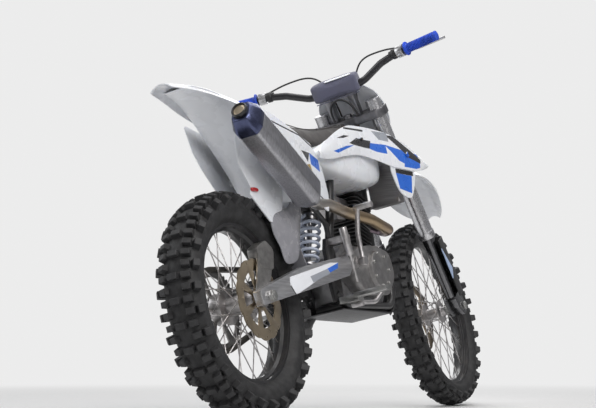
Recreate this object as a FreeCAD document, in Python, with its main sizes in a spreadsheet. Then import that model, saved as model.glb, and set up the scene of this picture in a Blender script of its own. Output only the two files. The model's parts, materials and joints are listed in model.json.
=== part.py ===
"""Dirt bike: an off-road motorcycle that leans on its side stand, in millimetres.

The bike is laid out upright: X forward, Y left, Z up, origin on the ground under the rear axle.
What steers is laid out in the fork frame: its Z runs up the steering axis, its X forward.
The wheels are laid out around their own centres, with the axle along Y.
Each node then gets the placement of the leaning bike, and the whole is centred on its footprint.
"""
import FreeCAD, Part
import math
import os
import re
from types import SimpleNamespace
from FreeCAD import Placement, Rotation, Vector

SIZES = (
    # name, value in mm, degrees or pieces, what it sets
    ("wheelbase", 1440, "rear axle to front axle"),
    ("lean_angle", 12, "lean to the left on the side stand"),
    ("rake_angle", 27, "steering axis from the vertical"),
    ("steer_rest", 4, "steering angle at which it stands, to the left"),
    ("clamp_offset", 25, "fork tubes ahead of the steering axis"),
    ("axle_lead", 32, "front axle ahead of the fork tubes"),
    ("pin_fit", 0.1, "clearance of a shaft in its bore, on the radius"),
    ("seat_gap", 0.3, "clearance of a seated piece"),
    ("running_gap", 6, "clearance of pieces that move past each other"),
    ("lug_rows", 56, "rows of lugs round each tyre, even"),
    ("rear_tyre_radius", 335, "to the lug tips"),
    ("rear_tyre_width", 114, "carcass at its widest"),
    ("rear_lug", 15, "lug height"),
    ("rear_seat_radius", 232, "bead seat"),
    ("rear_seat_width", 55, "between the rim flanges"),
    ("front_tyre_radius", 347, "to the lug tips"),
    ("front_tyre_width", 86, "carcass at its widest"),
    ("front_lug", 13, "lug height"),
    ("front_seat_radius", 270, "bead seat"),
    ("front_seat_width", 40, "between the rim flanges"),
    ("flange_height", 11, "rim flange above the bead seat"),
    ("rim_wall", 5, "rim thickness"),
    ("rim_drop", 10, "depth of the rim's well"),
    ("spoke_count", 36, "spokes in each wheel, a multiple of 4"),
    ("spoke_radius", 1.8, ""),
    ("spoke_sweep", 40, "angle between a spoke's ends, seen along the axle"),
    ("rear_axle_radius", 10, ""),
    ("front_axle_radius", 10, ""),
    ("rear_flange_radius", 52, "hub flange of the rear wheel"),
    ("front_flange_radius", 42, "hub flange of the front wheel"),
    ("rear_disc_radius", 120, "rear brake disc"),
    ("front_disc_radius", 130, "front brake disc"),
    ("disc_thickness", 4, ""),
    ("rear_disc_y", -72, "middle of the rear disc"),
    ("front_disc_y", 58, "middle of the front disc"),
    ("chain_pitch", 15.875, ""),
    ("rear_teeth", 48, ""),
    ("drive_teeth", 13, ""),
    ("chain_y", 72, "chain line"),
    ("chain_width", 16, ""),
    ("chain_height", 15, ""),
    ("sprocket_thickness", 6, ""),
    ("drive_x", 610, "output shaft"),
    ("drive_z", 455, "output shaft"),
    ("pivot_x", 545, "swingarm pivot"),
    ("pivot_z", 455, "swingarm pivot"),
    ("pivot_radius", 20, "swingarm pivot tube"),
    ("arm_inside", 84, "swingarm arm, inner face"),
    ("arm_width", 28, "swingarm arm"),
    ("frame_tube", 14, "radius of the cradle tubes"),
    ("spine_tube", 20, "radius of the backbone"),
    ("rail_tube", 9, "radius of the subframe tubes"),
    ("head_tube_radius", 27, ""),
    ("stem_radius", 15, "steering stem"),
    ("lower_clamp_height", 620, "underside of the lower clamp along the fork"),
    ("lower_clamp", 38, "thickness"),
    ("upper_clamp_height", 790, "underside of the upper clamp along the fork"),
    ("upper_clamp", 30, "thickness"),
    ("fork_spread", 100, "fork tube from the middle"),
    ("fork_outer_radius", 28, ""),
    ("fork_inner_radius", 23, ""),
    ("fork_outer_low", 300, "lower end of the outer tubes"),
    ("fork_top", 855, "top of the fork"),
    ("bar_radius", 13, "handlebar tube"),
    ("bar_half", 415, "half of the handlebar's width"),
    ("grip_radius", 17, ""),
    ("grip_length", 122, ""),
    ("wall", 4, "moulded plastic panels"),
    ("shroud_bow", 7, "how far the shrouds' sides bow outwards"),
    ("shroud_boss", 7, "radius of the bosses that hold the shrouds"),
    ("radiator_inside", 42, "radiators, inner side from the middle"),
    ("radiator_width", 112, ""),
    ("radiator_low", 700, "underside of the radiators"),
    ("radiator_height", 160, ""),
    ("radiator_thickness", 30, "radiator cores"),
    ("spring_wire", 5.5, "radius of the shock's coil"),
    ("spring_radius", 32, "middle of the coil's wire from the shock's axis"),
    ("skid_thickness", 4, "skid plate"),
    ("fin_count", 13, "cooling fins"),
    ("fin_pitch", 14, ""),
    ("fin_thickness", 4, ""),
    ("cylinder_lean", 15, "cylinder leans forward from the vertical"),
    ("crank_x", 800, ""),
    ("crank_z", 450, ""),
    ("case_half", 58, "half of the crankcase's width"),
    ("header_radius", 19, "exhaust pipe"),
    ("silencer_length", 372, ""),
    ("silencer_cap", 58, "length of the end cap"),
    ("outlet_radius", 21, "bore of the silencer's outlet"),
    ("outlet_depth", 40, "depth of that bore"),
    ("stand_foot_y", 262, "side stand foot from the middle"),
    ("stand_foot_x", 640, "side stand foot"),
    ("stand_pivot_x", 590, ""),
    ("stand_pivot_y", 106, ""),
    ("stand_pivot_z", 316, ""),
    ("stand_tube", 11, "radius of the side stand's leg"),
    ("stand_foot_radius", 34, ""),
)

X = Vector(1, 0, 0)
Y = Vector(0, 1, 0)
Z = Vector(0, 0, 1)
SIDES = (("Left", 1), ("Right", -1))

doc = FreeCAD.newDocument("DirtBike")
sheet = doc.addObject("Spreadsheet::Sheet", "Sizes")
for row, (alias, number, meaning) in enumerate(SIZES, start=1):
    sheet.set(f"A{row}", meaning or alias)
    sheet.set(f"B{row}", str(number))
    sheet.setAlias(f"B{row}", alias)
doc.recompute()
S = SimpleNamespace(**{alias: float(sheet.get(alias)) for alias, _, _ in SIZES})


def formula(text):
    """A formula in which each size is written as its cell of the sheet."""
    return re.sub(r"[a-z]\w*", lambda word: f"Sizes.{word[0]}" if hasattr(S, word[0]) else word[0], text)


def bind(piece, **formulas):
    """Ties properties of a feature to formulas of the sheet."""
    for name, text in formulas.items():
        piece.setExpression(name, formula(text))


def worth(text):
    """The value of a formula."""
    return float(sheet.evalExpression(formula(text)))


def direction(start, end):
    """Unit vector from one point to another."""
    return (end - start).normalize()


def runs(points, closed):
    """Straight runs joined by tangent arcs. A point is a vector and the radius of its corner."""
    count = len(points)
    entries, exits, arcs = [], [], []
    for index, (corner, radius) in enumerate(points):
        if radius == 0 or (not closed and index in (0, count - 1)):
            entries.append(corner)
            exits.append(corner)
            arcs.append(None)
            continue
        back = direction(corner, points[index - 1][0])
        ahead = direction(corner, points[(index + 1) % count][0])
        half = back.getAngle(ahead) / 2
        inward = (back + ahead).normalize()
        middle = corner + inward * (radius / math.sin(half) - radius)
        entries.append(corner + back * (radius / math.tan(half)))
        exits.append(corner + ahead * (radius / math.tan(half)))
        arcs.append(Part.ArcOfCircle(entries[-1], middle, exits[-1]))
    pieces = []
    for index in range(count):
        if arcs[index]:
            pieces.append(arcs[index])
        after = (index + 1) % count
        if (closed or after) and exits[index].distanceToPoint(entries[after]) > 1e-6:
            pieces.append(Part.LineSegment(exits[index], entries[after]))
    return pieces


def flat(points):
    """Points of an outline, (a, b) or (a, b, corner radius), as vectors with radii."""
    return [(Vector(point[0], point[1], 0), point[2] if len(point) > 2 else 0) for point in points]


def ring(a, b, radius):
    """A hole in an outline."""
    return [Part.Circle(Vector(a, b, 0), Z, radius)]


def sketch(name, body, plane, points, holes=(), offset=0.0):
    """A closed outline with holes on one of a body's origin planes."""
    drawing = body.newObject("Sketcher::SketchObject", name)
    role = next(item for item in body.Origin.OriginFeatures if item.Role == plane)
    drawing.AttachmentSupport = (role, [""])
    drawing.MapMode = "FlatFace"
    drawing.AttachmentOffset = Placement(Vector(0, 0, offset), Rotation())
    drawing.addGeometry(runs(flat(points), closed=True))
    for hole in holes:
        drawing.addGeometry(hole)
    return drawing


def slab(name, plane, points, thickness, middle=0.0, holes=(), place=None):
    """An outline padded to both sides of its plane; middle is where along the plane's axis."""
    body = doc.addObject("PartDesign::Body", name)
    offset = -middle if plane == "XZ_Plane" else middle
    drawing = sketch(name + "Outline", body, plane, points, holes, offset)
    pad = body.newObject("PartDesign::Pad", name + "Pad")
    pad.Profile = drawing
    pad.SideType = "Symmetric"
    bind(pad, Length=thickness)
    if place:
        body.Placement = place
    return body


def turned(name, points, holes=()):
    """A profile, as (along the axle, radius), turned about Y."""
    body = doc.addObject("PartDesign::Body", name)
    drawing = sketch(name + "Profile", body, "YZ_Plane", points, holes)
    turn = body.newObject("PartDesign::Revolution", name + "Turn")
    turn.Profile = drawing
    turn.ReferenceAxis = (drawing, ["H_Axis"])
    turn.Angle = 360
    return body


def rod(name, start, end, radius):
    """A solid cylinder between two points; its radius is a formula."""
    piece = doc.addObject("Part::Cylinder", name)
    bind(piece, Radius=radius)
    piece.Height = start.distanceToPoint(end)
    piece.Placement = Placement(start, Rotation(Z, direction(start, end)))
    return piece


def cross_rod(name, x, z, radius, length, y=0.0):
    """A cylinder along Y, centred at y; radius and length are formulas."""
    piece = doc.addObject("Part::Cylinder", name)
    bind(piece, Radius=radius, Height=length)
    piece.Placement = Placement(Vector(x, y - worth(length) / 2, z), Rotation(Z, Y))
    return piece


def block(name, centre, length, width, height, turn=None):
    """A box centred on a point, turned about that point."""
    piece = doc.addObject("Part::Box", name)
    piece.Length, piece.Width, piece.Height = length, width, height
    turn = turn or Rotation()
    corner = Vector(-length / 2, -width / 2, -height / 2)
    piece.Placement = Placement(centre + turn.multVec(corner), turn)
    return piece


def tube(name, points, radius, bend):
    """A round bar along straight runs and arcs of one bend radius; radius is a formula."""
    path = doc.addObject("Part::Feature", name + "Path")
    corners = [(Vector(*point), bend) for point in points]
    path.Shape = Part.Wire([piece.toShape() for piece in runs(corners, closed=False)])
    section = doc.addObject("Part::Circle", name + "Section")
    bind(section, Radius=radius)
    start, ahead = corners[0][0], corners[1][0]
    section.Placement = Placement(start, Rotation(Z, direction(start, ahead)))
    bar = doc.addObject("Part::Sweep", name)
    bar.Sections = [section]
    bar.Spine = (path, [])
    bar.Solid = True
    return bar


def station(name, place, points):
    """One closed section of a loft."""
    drawing = doc.addObject("Sketcher::SketchObject", name)
    drawing.addGeometry(runs(flat(points), closed=True))
    drawing.Placement = place
    return drawing


def loft(name, sections, ruled=True):
    """A solid through sections; a section is its placement and its outline."""
    body = doc.addObject("Part::Loft", name)
    body.Sections = [station(f"{name}Section{index}", place, points)
                     for index, (place, points) in enumerate(sections, start=1)]
    body.Solid = True
    body.Ruled = ruled
    return body


def fuse(name, pieces):
    """Pieces that are made as one."""
    whole = doc.addObject("Part::MultiFuse", name)
    whole.Shapes = pieces
    return whole


def cut(name, base, tool):
    """A piece cut to the shape of what it meets."""
    rest = doc.addObject("Part::Cut", name)
    rest.Base = base
    rest.Tool = tool
    return rest


def across(x):
    """The plane square to X at x: outlines on it are (left, up)."""
    return Placement(Vector(x, 0, 0), Rotation(Y, Z, X, "XYZ"))


def wheel_point(radius, y, angle):
    """A point of a wheel; the angle in degrees goes from forward to up."""
    turn = math.radians(angle)
    return Vector(radius * math.cos(turn), y, radius * math.sin(turn))


# The tyres' section: columns are the share of the half width and of the height above the seat
TYRE_SECTION = (
    (0.82, 0.28),
    (1.00, 0.58),
    (0.88, 0.78),
    (0.36, 1.00),
)
LUG_TAPER = 0.86
LUG_LENGTH = (0.22, 0.78)
CROWN_LUG_WIDTH = (0.06, 0.94)
SIDE_LUG_WIDTH = (0.04, 0.90)


def polygon(points):
    """A closed wire."""
    return Part.makePolygon(list(points) + [points[0]])


def lug(corners, height):
    """Base wire and faces of one lug that stands on a flat facet, given the facet's base corners."""
    middle = sum(corners, Vector()) / len(corners)
    outward = (corners[1] - corners[0]).cross(corners[3] - corners[0]).normalize()
    if outward.dot(Vector(middle.x, 0, middle.z)) < 0:
        outward = outward * -1
    top = [middle + (corner - middle) * LUG_TAPER + outward * height for corner in corners]
    faces = [Part.Face(polygon(top))]
    for index in range(len(corners)):
        after = (index + 1) % len(corners)
        faces.append(Part.Face(polygon([corners[index], corners[after], top[after], top[index]])))
    return polygon(corners), faces, top


def tyre(name, radius, width, lug_height, seat_radius, seat_width):
    """A tyre of flat facets with its lugs, and the corners of the lug tips."""
    rows = int(S.lug_rows)
    height = radius - lug_height - seat_radius
    half = [(seat_width / 2, seat_radius), (seat_width / 2, seat_radius + S.flange_height)]
    half += [(width / 2 * out, seat_radius + height * up) for out, up in TYRE_SECTION]
    profile = half + [(-y, r) for y, r in reversed(half)]
    crown = len(half) - 1
    step = 360 / rows
    angles = [-90 + (row - 0.5) * step for row in range(rows)]
    faces, tips = [], []
    for band, (y0, r0) in enumerate(profile):
        y1, r1 = profile[(band + 1) % len(profile)]
        if abs(y0 - y1) < 1e-6:
            rings = [polygon([wheel_point(r, y0, angle) for angle in angles]) for r in (max(r0, r1), min(r0, r1))]
            faces.append(Part.makeFace(rings, "Part::FaceMakerCheese"))
            continue
        for row, angle in enumerate(angles):
            near, far = [wheel_point(r0, y0, a) for a in (angle, angle + step)]
            near_next, far_next = [wheel_point(r1, y1, a) for a in (angle, angle + step)]
            facet = polygon([near, far, far_next, near_next])
            on_crown = band == crown and row % 2 == 0
            on_side = band in (crown - 1, crown + 1) and row % 2 == 1
            if not (on_crown or on_side):
                faces.append(Part.Face(facet))
                continue
            low, high = CROWN_LUG_WIDTH if on_crown else SIDE_LUG_WIDTH
            if band == crown - 1:
                low, high = 1 - high, 1 - low
            corners = []
            for along, over in ((0, low), (1, low), (1, high), (0, high)):
                share = LUG_LENGTH[along]
                start = near + (far - near) * share
                end = near_next + (far_next - near_next) * share
                corners.append(start + (end - start) * over)
            base, lug_faces, top = lug(corners, lug_height)
            faces.append(Part.makeFace([facet, base], "Part::FaceMakerCheese"))
            faces += lug_faces
            tips += top
    shell = Part.Compound(faces)
    shell.sewShape()
    body = Part.Solid(shell.Shells[0])
    if body.Volume < 0:
        body.reverse()
    piece = doc.addObject("Part::Feature", name)
    piece.Shape = body
    return piece, tips


def rim(name, seat_radius, seat_width):
    """A drop-centre rim; it lies just inside the tyre's flat facets."""
    seat = seat_radius * math.cos(math.pi / S.lug_rows) - S.pin_fit
    inside = seat_width / 2 + S.seat_gap
    outside = inside + S.rim_wall
    top = seat_radius + S.flange_height - 0.6
    well = seat - S.rim_drop
    half = [
        (outside, top), (inside, top), (inside, seat), (inside * 0.55, seat), (inside * 0.35, well),
    ]
    under = [
        (outside, seat - S.rim_wall), (inside * 0.6, seat - S.rim_wall), (inside * 0.4, well - S.rim_wall),
    ]
    left = [(-y, r) for y, r in half]
    right = list(reversed([(y, r) for y, r in half]))
    below_left = list(reversed([(-y, r) for y, r in under]))
    return turned(name, left + right + under + below_left), well - S.rim_wall


def hub(name, profile, flange_radius, flange_y, rim_radius, rim_y):
    """A hub with its laced spokes, which end just inside the rim."""
    barrel = turned(name + "Barrel", profile)
    spokes = []
    each_side = int(S.spoke_count / 2)
    step = 360 / each_side
    for side, sign in SIDES:
        for index in range(each_side):
            angle = index * step + (step / 2 if sign < 0 else 0)
            sweep = S.spoke_sweep if index % 2 else -S.spoke_sweep
            inner = wheel_point(flange_radius - 5, sign * flange_y, angle + sweep)
            outer = wheel_point(rim_radius - 2 * S.seat_gap, sign * rim_y, angle)
            spokes.append(rod(f"{name}Spoke{side}{index}", inner, outer, "spoke_radius"))
    return fuse(name, [barrel] + spokes)


def wavy(radius, wave, count):
    """A wavy round outline made of arcs."""
    arcs = []
    for index in range(count):
        points = [(radius - wave, index), (radius, index + 0.5), (radius - wave, index + 1)]
        ends = [wheel_point(r, 0, share * 360 / count) for r, share in points]
        arcs.append(Part.ArcOfCircle(*[Vector(end.x, end.z, 0) for end in ends]))
    return arcs


def window(inner, outer, start, end):
    """A ring-shaped window between two radii and two angles."""
    def at(radius, angle):
        """A point in the wheel's plane."""
        point = wheel_point(radius, 0, angle)
        return Vector(point.x, point.z, 0)
    middle = (start + end) / 2
    return [
        Part.ArcOfCircle(at(outer, start), at(outer, middle), at(outer, end)),
        Part.LineSegment(at(outer, end), at(inner, end)),
        Part.ArcOfCircle(at(inner, end), at(inner, middle), at(inner, start)),
        Part.LineSegment(at(inner, start), at(outer, start)),
    ]


def plate_on_axle(name, geometry, thickness, y):
    """A disc or sprocket: geometry in the wheel's plane, padded to both sides of y."""
    body = doc.addObject("PartDesign::Body", name)
    drawing = body.newObject("Sketcher::SketchObject", name + "Outline")
    role = next(item for item in body.Origin.OriginFeatures if item.Role == "XZ_Plane")
    drawing.AttachmentSupport = (role, [""])
    drawing.MapMode = "FlatFace"
    drawing.AttachmentOffset = Placement(Vector(0, 0, -y), Rotation())
    drawing.addGeometry(geometry)
    pad = body.newObject("PartDesign::Pad", name + "Pad")
    pad.Profile = drawing
    pad.SideType = "Symmetric"
    bind(pad, Length=thickness)
    return body


def brake_disc(name, radius, y, bore, waves, windows):
    """A wavy brake disc with a spider between its windows."""
    geometry = wavy(radius, 5, waves)
    geometry.append(Part.Circle(Vector(), Z, bore))
    step = 360 / windows
    for index in range(windows):
        geometry += window(bore + 12, radius * 0.70, index * step + 9, (index + 1) * step - 9)
    return plate_on_axle(name, geometry, "disc_thickness", y)


def pitch_radius(teeth):
    """Radius at which a sprocket carries the chain's rollers."""
    return S.chain_pitch / 2 / math.sin(math.pi / teeth)


def sprocket(name, teeth, y, bore):
    """A toothed sprocket; each tooth is a short trapezoid."""
    radius = pitch_radius(teeth)
    step = 360 / teeth
    corners = []
    for index in range(int(teeth)):
        for share, r in ((0.10, radius - 4), (0.34, radius + 4), (0.66, radius + 4), (0.90, radius - 4)):
            point = wheel_point(r, 0, (index + share) * step)
            corners.append((Vector(point.x, point.z, 0), 0))
    geometry = runs(corners, closed=True)
    geometry.append(Part.Circle(Vector(), Z, bore))
    if teeth > 24:
        for index in range(6):
            geometry += window(bore + 16, radius - 22, index * 60 + 8, index * 60 + 52)
    return plate_on_axle(name, geometry, "sprocket_thickness", y)


def belt(name, reach, width):
    """A closed loop round both sprockets, reach outside the rollers' line."""
    small = Vector(S.drive_x, S.drive_z, 0)
    big = Vector(0, rear_axle_z, 0)
    radii = [(small, pitch_radius(S.drive_teeth) + reach), (big, pitch_radius(S.rear_teeth) + reach)]
    line = small - big
    tilt = math.asin((radii[1][1] - radii[0][1]) / line.Length)
    heading = math.atan2(line.y, line.x)
    ends = {}
    for sign in (1, -1):
        angle = heading + sign * (math.pi / 2 - tilt)
        normal = Vector(math.cos(angle), math.sin(angle), 0)
        ends[sign] = [centre + normal * radius for centre, radius in radii]
    forward = line.normalize()
    geometry = [
        Part.LineSegment(ends[1][1], ends[1][0]),
        Part.ArcOfCircle(ends[1][0], small + forward * radii[0][1], ends[-1][0]),
        Part.LineSegment(ends[-1][0], ends[-1][1]),
        Part.ArcOfCircle(ends[-1][1], big - forward * radii[1][1], ends[1][1]),
    ]
    return plate_on_axle(name, geometry, width, S.chain_y)


def lowest_axle(tips, place):
    """Axle height at which the lowest lug tip meets the leaning bike's ground."""
    slope = math.tan(math.radians(S.lean_angle))
    points = [place.multVec(tip) for tip in tips]
    return max(point.y * slope - point.z for point in points)


# The frames that everything is placed in
fork_turn = Rotation(Y, -S.rake_angle)
steer_turn = Placement(Vector(), Rotation(Z, S.steer_rest))
axle_ahead = S.clamp_offset + S.axle_lead
wheel_in_fork = Placement(Vector(axle_ahead, 0, 0), fork_turn.inverted())

rear_tyre, rear_tips = tyre("RearTyreBody", S.rear_tyre_radius, S.rear_tyre_width, S.rear_lug,
                            S.rear_seat_radius, S.rear_seat_width)
front_tyre, front_tips = tyre("FrontTyreBody", S.front_tyre_radius, S.front_tyre_width, S.front_lug,
                              S.front_seat_radius, S.front_seat_width)
rear_axle_z = lowest_axle(rear_tips, Placement())
straight_fork = Placement(Vector(), fork_turn)
steered_wheel = straight_fork.multiply(steer_turn).multiply(wheel_in_fork)
wheel_centre = straight_fork.multVec(Vector(axle_ahead, 0, 0))
front_axle_z = lowest_axle(front_tips, steered_wheel) + wheel_centre.z
fork_foot = Vector(S.wheelbase, 0, front_axle_z) - wheel_centre

lean = Placement(Vector(), Rotation(X, -S.lean_angle))
chassis = lean
rear_wheel = lean.multiply(Placement(Vector(0, 0, rear_axle_z), Rotation()))
steering = lean.multiply(Placement(fork_foot, fork_turn)).multiply(steer_turn)
front_wheel = steering.multiply(wheel_in_fork)
head = Placement(fork_foot, fork_turn)

nodes = []


def node(name, frame, pieces):
    """One named node of solids, in the frame that carries it."""
    holder = doc.addObject("Part::Compound", name)
    holder.Label = name
    holder.Links = pieces
    holder.Placement = frame
    nodes.append(holder)
    return holder


# Wheels
front_rim, front_rim_inside = rim("FrontRimBody", S.front_seat_radius, S.front_seat_width)
rear_rim, rear_rim_inside = rim("RearRimBody", S.rear_seat_radius, S.rear_seat_width)
rear_bore = S.rear_axle_radius + S.pin_fit
front_bore = S.front_axle_radius + S.pin_fit
rear_nose = S.arm_inside - S.running_gap
disc_face = abs(S.rear_disc_y) - S.disc_thickness / 2
sprocket_face = S.chain_y - S.sprocket_thickness / 2
REAR_HUB = [
    (-rear_nose, rear_bore), (-rear_nose, 20), (-disc_face, 20), (-disc_face, 36), (-40, 32),
    (-36, S.rear_flange_radius), (-30, S.rear_flange_radius), (-26, 28), (26, 28),
    (30, S.rear_flange_radius), (36, S.rear_flange_radius), (40, 44), (sprocket_face, 48),
    (sprocket_face, 24), (rear_nose, 24), (rear_nose, rear_bore),
]
front_disc_face = S.front_disc_y - S.disc_thickness / 2
front_nose = 66
FRONT_HUB = [
    (-front_nose + 16, front_bore), (-front_nose + 16, 18), (-34, 22), (-32, S.front_flange_radius),
    (-26, S.front_flange_radius), (-22, 20), (22, 20), (26, S.front_flange_radius),
    (32, S.front_flange_radius), (36, 30), (front_disc_face, 34), (front_disc_face, 20),
    (front_nose, 20), (front_nose, front_bore),
]
rear_hub = hub("RearHubBody", REAR_HUB, S.rear_flange_radius, 33, rear_rim_inside, 6)
front_hub = hub("FrontHubBody", FRONT_HUB, S.front_flange_radius, 29, front_rim_inside, 4)
rear_disc = brake_disc("RearDiscBody", S.rear_disc_radius, S.rear_disc_y, 20 + S.pin_fit, 14, 7)
front_disc = brake_disc("FrontDiscBody", S.front_disc_radius, S.front_disc_y, 20 + S.pin_fit, 14, 7)
rear_sprocket = sprocket("RearSprocketBody", S.rear_teeth, S.chain_y, 24 + S.pin_fit)

node("rear_tyre", rear_wheel, [rear_tyre])
node("rear_rim", rear_wheel, [rear_rim])
node("rear_hub", rear_wheel, [rear_hub])
node("rear_disc", rear_wheel, [rear_disc])
node("rear_sprocket", rear_wheel, [rear_sprocket])
node("front_tyre", front_wheel, [front_tyre])
node("front_rim", front_wheel, [front_rim])
node("front_hub", front_wheel, [front_hub])
node("front_disc", front_wheel, [front_disc])

# Chain: a band with a slot for the sprockets' teeth
half_chain = S.chain_height / 2
chain_band = belt("ChainBand", half_chain, "chain_width")
chain_inside = belt("ChainInside", -half_chain, "chain_width + 2")
chain_slot = belt("ChainSlot", half_chain - 2.5, "sprocket_thickness + 4")
chain = cut("Chain", cut("ChainLoop", chain_band, chain_inside), chain_slot)
drive_sprocket = sprocket("DriveSprocketBody", S.drive_teeth, S.chain_y, 10)
drive_sprocket.Placement = Placement(Vector(S.drive_x, 0, S.drive_z), Rotation())
node("chain", chassis, [chain])

# Frame
def frame_tube(name, points, radius="frame_tube", bend=60):
    """A tube of the frame."""
    return tube(name, points, radius, bend)


head_low = S.lower_clamp_height + S.lower_clamp + 1
head_high = S.upper_clamp_height - 1
head_bottom = head.multVec(Vector(0, 0, head_low))
head_top = head.multVec(Vector(0, 0, head_high))
head_tube = rod("HeadTube", head_bottom, head_top, "head_tube_radius")
head_bore = rod("HeadBore", head.multVec(Vector(0, 0, head_low - 20)), head.multVec(Vector(0, 0, head_high + 20)),
                "stem_radius + 1")
spine_start = head.multVec(Vector(0, 0, head_high - 45))
down_start = head.multVec(Vector(0, 0, head_low + 66))
down_corner = head.multVec(Vector(-84, 0, head_low + 4))
plate_y = 52
frame_parts = [
    head_tube,
    frame_tube("Spine", [(spine_start.x, 0, spine_start.z), (830, 0, 895), (640, 0, 800)], "spine_tube", 120),
    frame_tube("DownTube", [down_start, down_corner, (985, 0, 570), (955, 0, 450)], "spine_tube - 2", 70),
    cross_rod("RearCross", 640, 800, "frame_tube + 3", "136"),
    cross_rod("FrontCross", 955, 450, "frame_tube + 3", "130"),
    cross_rod("LowCross", 590, 341, "frame_tube + 3", "130"),
]
for side, sign in SIDES:
    frame_parts.append(frame_tube(f"Cradle{side}", [
        (955, sign * 62, 450), (930, sign * 62, 345), (575, sign * 62, 338), (540, sign * plate_y, 380)]))
    frame_parts.append(frame_tube(f"Spar{side}", [
        (640, sign * 66, 800), (590, sign * 58, 640), (550, sign * (plate_y - 8), 490)], bend=90))
    frame_parts.append(slab(f"PivotPlate{side}", "XZ_Plane", [
        (512, 400, 12), (520, 350, 8), (570, 350, 8), (582, 400, 12), (578, 520, 12), (560, 560, 10),
        (530, 560, 10), (512, 520, 12)], "12", sign * plate_y))
frame_solid = fuse("FrameSolid", frame_parts)
pivot_space = cross_rod("PivotSpace", S.pivot_x, S.pivot_z, "pivot_radius + pin_fit", "200")
frame_body = cut("FrameBored", cut("FrameBody", frame_solid, head_bore), pivot_space)
node("frame", chassis, [frame_body])

# Subframe
subframe_parts = [cross_rod("SubframeCross", 90, 925, "rail_tube", "100"),
                  cross_rod("SubframeMid", 330, 880, "rail_tube", "110")]
for side, sign in SIDES:
    subframe_parts.append(tube(f"UpperRail{side}", [
        (636, sign * 66, 800), (560, sign * 62, 850), (330, sign * 55, 880), (60, sign * 48, 935)],
        "rail_tube", 120))
    subframe_parts.append(tube(f"LowerRail{side}", [
        (556, sign * 56, 540), (520, sign * 73, 600), (250, sign * 73, 790), (110, sign * 50, 920)],
        "rail_tube", 60))
subframe_solid = fuse("SubframeSolid", subframe_parts)
subframe_body = cut("SubframeBody", subframe_solid, frame_solid)
node("subframe", chassis, [subframe_body])

# Swingarm: outlines run along the line from the axle to the pivot
arm_line = direction(Vector(0, 0, rear_axle_z), Vector(S.pivot_x, 0, S.pivot_z))
arm_length = Vector(0, 0, rear_axle_z).distanceToPoint(Vector(S.pivot_x, 0, S.pivot_z))
arm_up = Vector(-arm_line.z, 0, arm_line.x)
arm_place = Placement(Vector(0, 0, rear_axle_z), Rotation(arm_line, Y, arm_up, "XYZ"))
arm_middle = S.arm_inside + S.arm_width / 2
ARM = [
    (-48, -17, 5), (-48, 27, 6), (60, 36, 40), (260, 48, 60), (arm_length + 20, 34, 22),
    (arm_length + 26, -10, 20), (arm_length - 10, -30, 25), (260, -24, 60), (60, -19, 40),
]
swingarm_parts = []
for side, sign in SIDES:
    swingarm_parts.append(slab(f"Arm{side}", "XZ_Plane", ARM, "arm_width", sign * arm_middle,
                               [ring(0, 0, S.rear_axle_radius + S.pin_fit)], arm_place))
bridge_centre = arm_place.multVec(Vector(424, 0, 12))
swingarm_parts.append(block("Bridge", bridge_centre, 50, 2 * S.arm_inside + 2, 52, arm_place.Rotation))
swingarm_parts.append(cross_rod("PivotTube", S.pivot_x, S.pivot_z, "pivot_radius", "2 * arm_inside + 2"))
swingarm_parts.append(block("ShockLug", Vector(460, 0, 436), 52, 40, 40, arm_place.Rotation))
swingarm = fuse("SwingarmBody", swingarm_parts)
node("swingarm", chassis, [swingarm])

# Rear axle with its spacers and nuts
axle_end = S.arm_inside + S.arm_width
axle_parts = [cross_rod("RearShaft", 0, rear_axle_z, "rear_axle_radius", "2 * (arm_inside + arm_width) + 34")]
for side, sign in SIDES:
    axle_parts.append(cross_rod(f"RearSpacer{side}", 0, rear_axle_z, "16", "running_gap - seat_gap",
                                sign * (S.arm_inside - (S.running_gap - S.seat_gap) / 2)))
    nut = doc.addObject("Part::Prism", f"RearNut{side}")
    nut.Polygon = 6
    nut.Circumradius = 18
    nut.Height = 13
    nut.Placement = Placement(Vector(0, axle_end if sign > 0 else -axle_end - 13, rear_axle_z), Rotation(Z, Y))
    axle_parts.append(nut)
rear_axle = fuse("RearAxleBody", axle_parts)
node("rear_axle", chassis, [rear_axle])

# Shock absorber
shock_top = Vector(622, 0, 762)
shock_low = Vector(468, 0, 448)
shock_line = direction(shock_low, shock_top)
shock_length = shock_low.distanceToPoint(shock_top)


def along_shock(distance):
    """A point on the shock's axis."""
    return shock_low + shock_line * distance


shock_body = fuse("ShockSolid", [
    rod("ShockRod", along_shock(0), along_shock(shock_length - 20), "9"),
    rod("ShockCan", along_shock(200), along_shock(shock_length - 10), "26"),
    rod("ShockSeat", along_shock(24), along_shock(34), "34"),
    rod("ShockCollar", along_shock(214), along_shock(226), "36"),
])
node("shock_absorber", chassis, [cut("ShockBody", cut("ShockTrimmed", shock_body, frame_solid), swingarm)])
coil_start, coil_end = 34, 214
coil_line = doc.addObject("Part::Helix", "SpringLine")
coil_line.Radius = S.spring_radius
coil_line.Height = coil_end - coil_start - 2 * S.spring_wire + 1
coil_line.Pitch = coil_line.Height.Value / 6.5
coil_section = doc.addObject("Part::Circle", "SpringSection")
bind(coil_section, Radius="spring_wire")
coil_section.Placement = Placement(Vector(S.spring_radius, 0, 0), Rotation(X, 90))
coil = doc.addObject("Part::Sweep", "SpringCoil")
coil.Sections = [coil_section]
coil.Spine = (coil_line, [])
coil.Solid = True
coil.Frenet = True
coil.Placement = Placement(along_shock(coil_start + S.spring_wire - 0.5), Rotation(Z, shock_line))
node("shock_spring", chassis, [cut("SpringTrimmed", coil, shock_body)])

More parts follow.
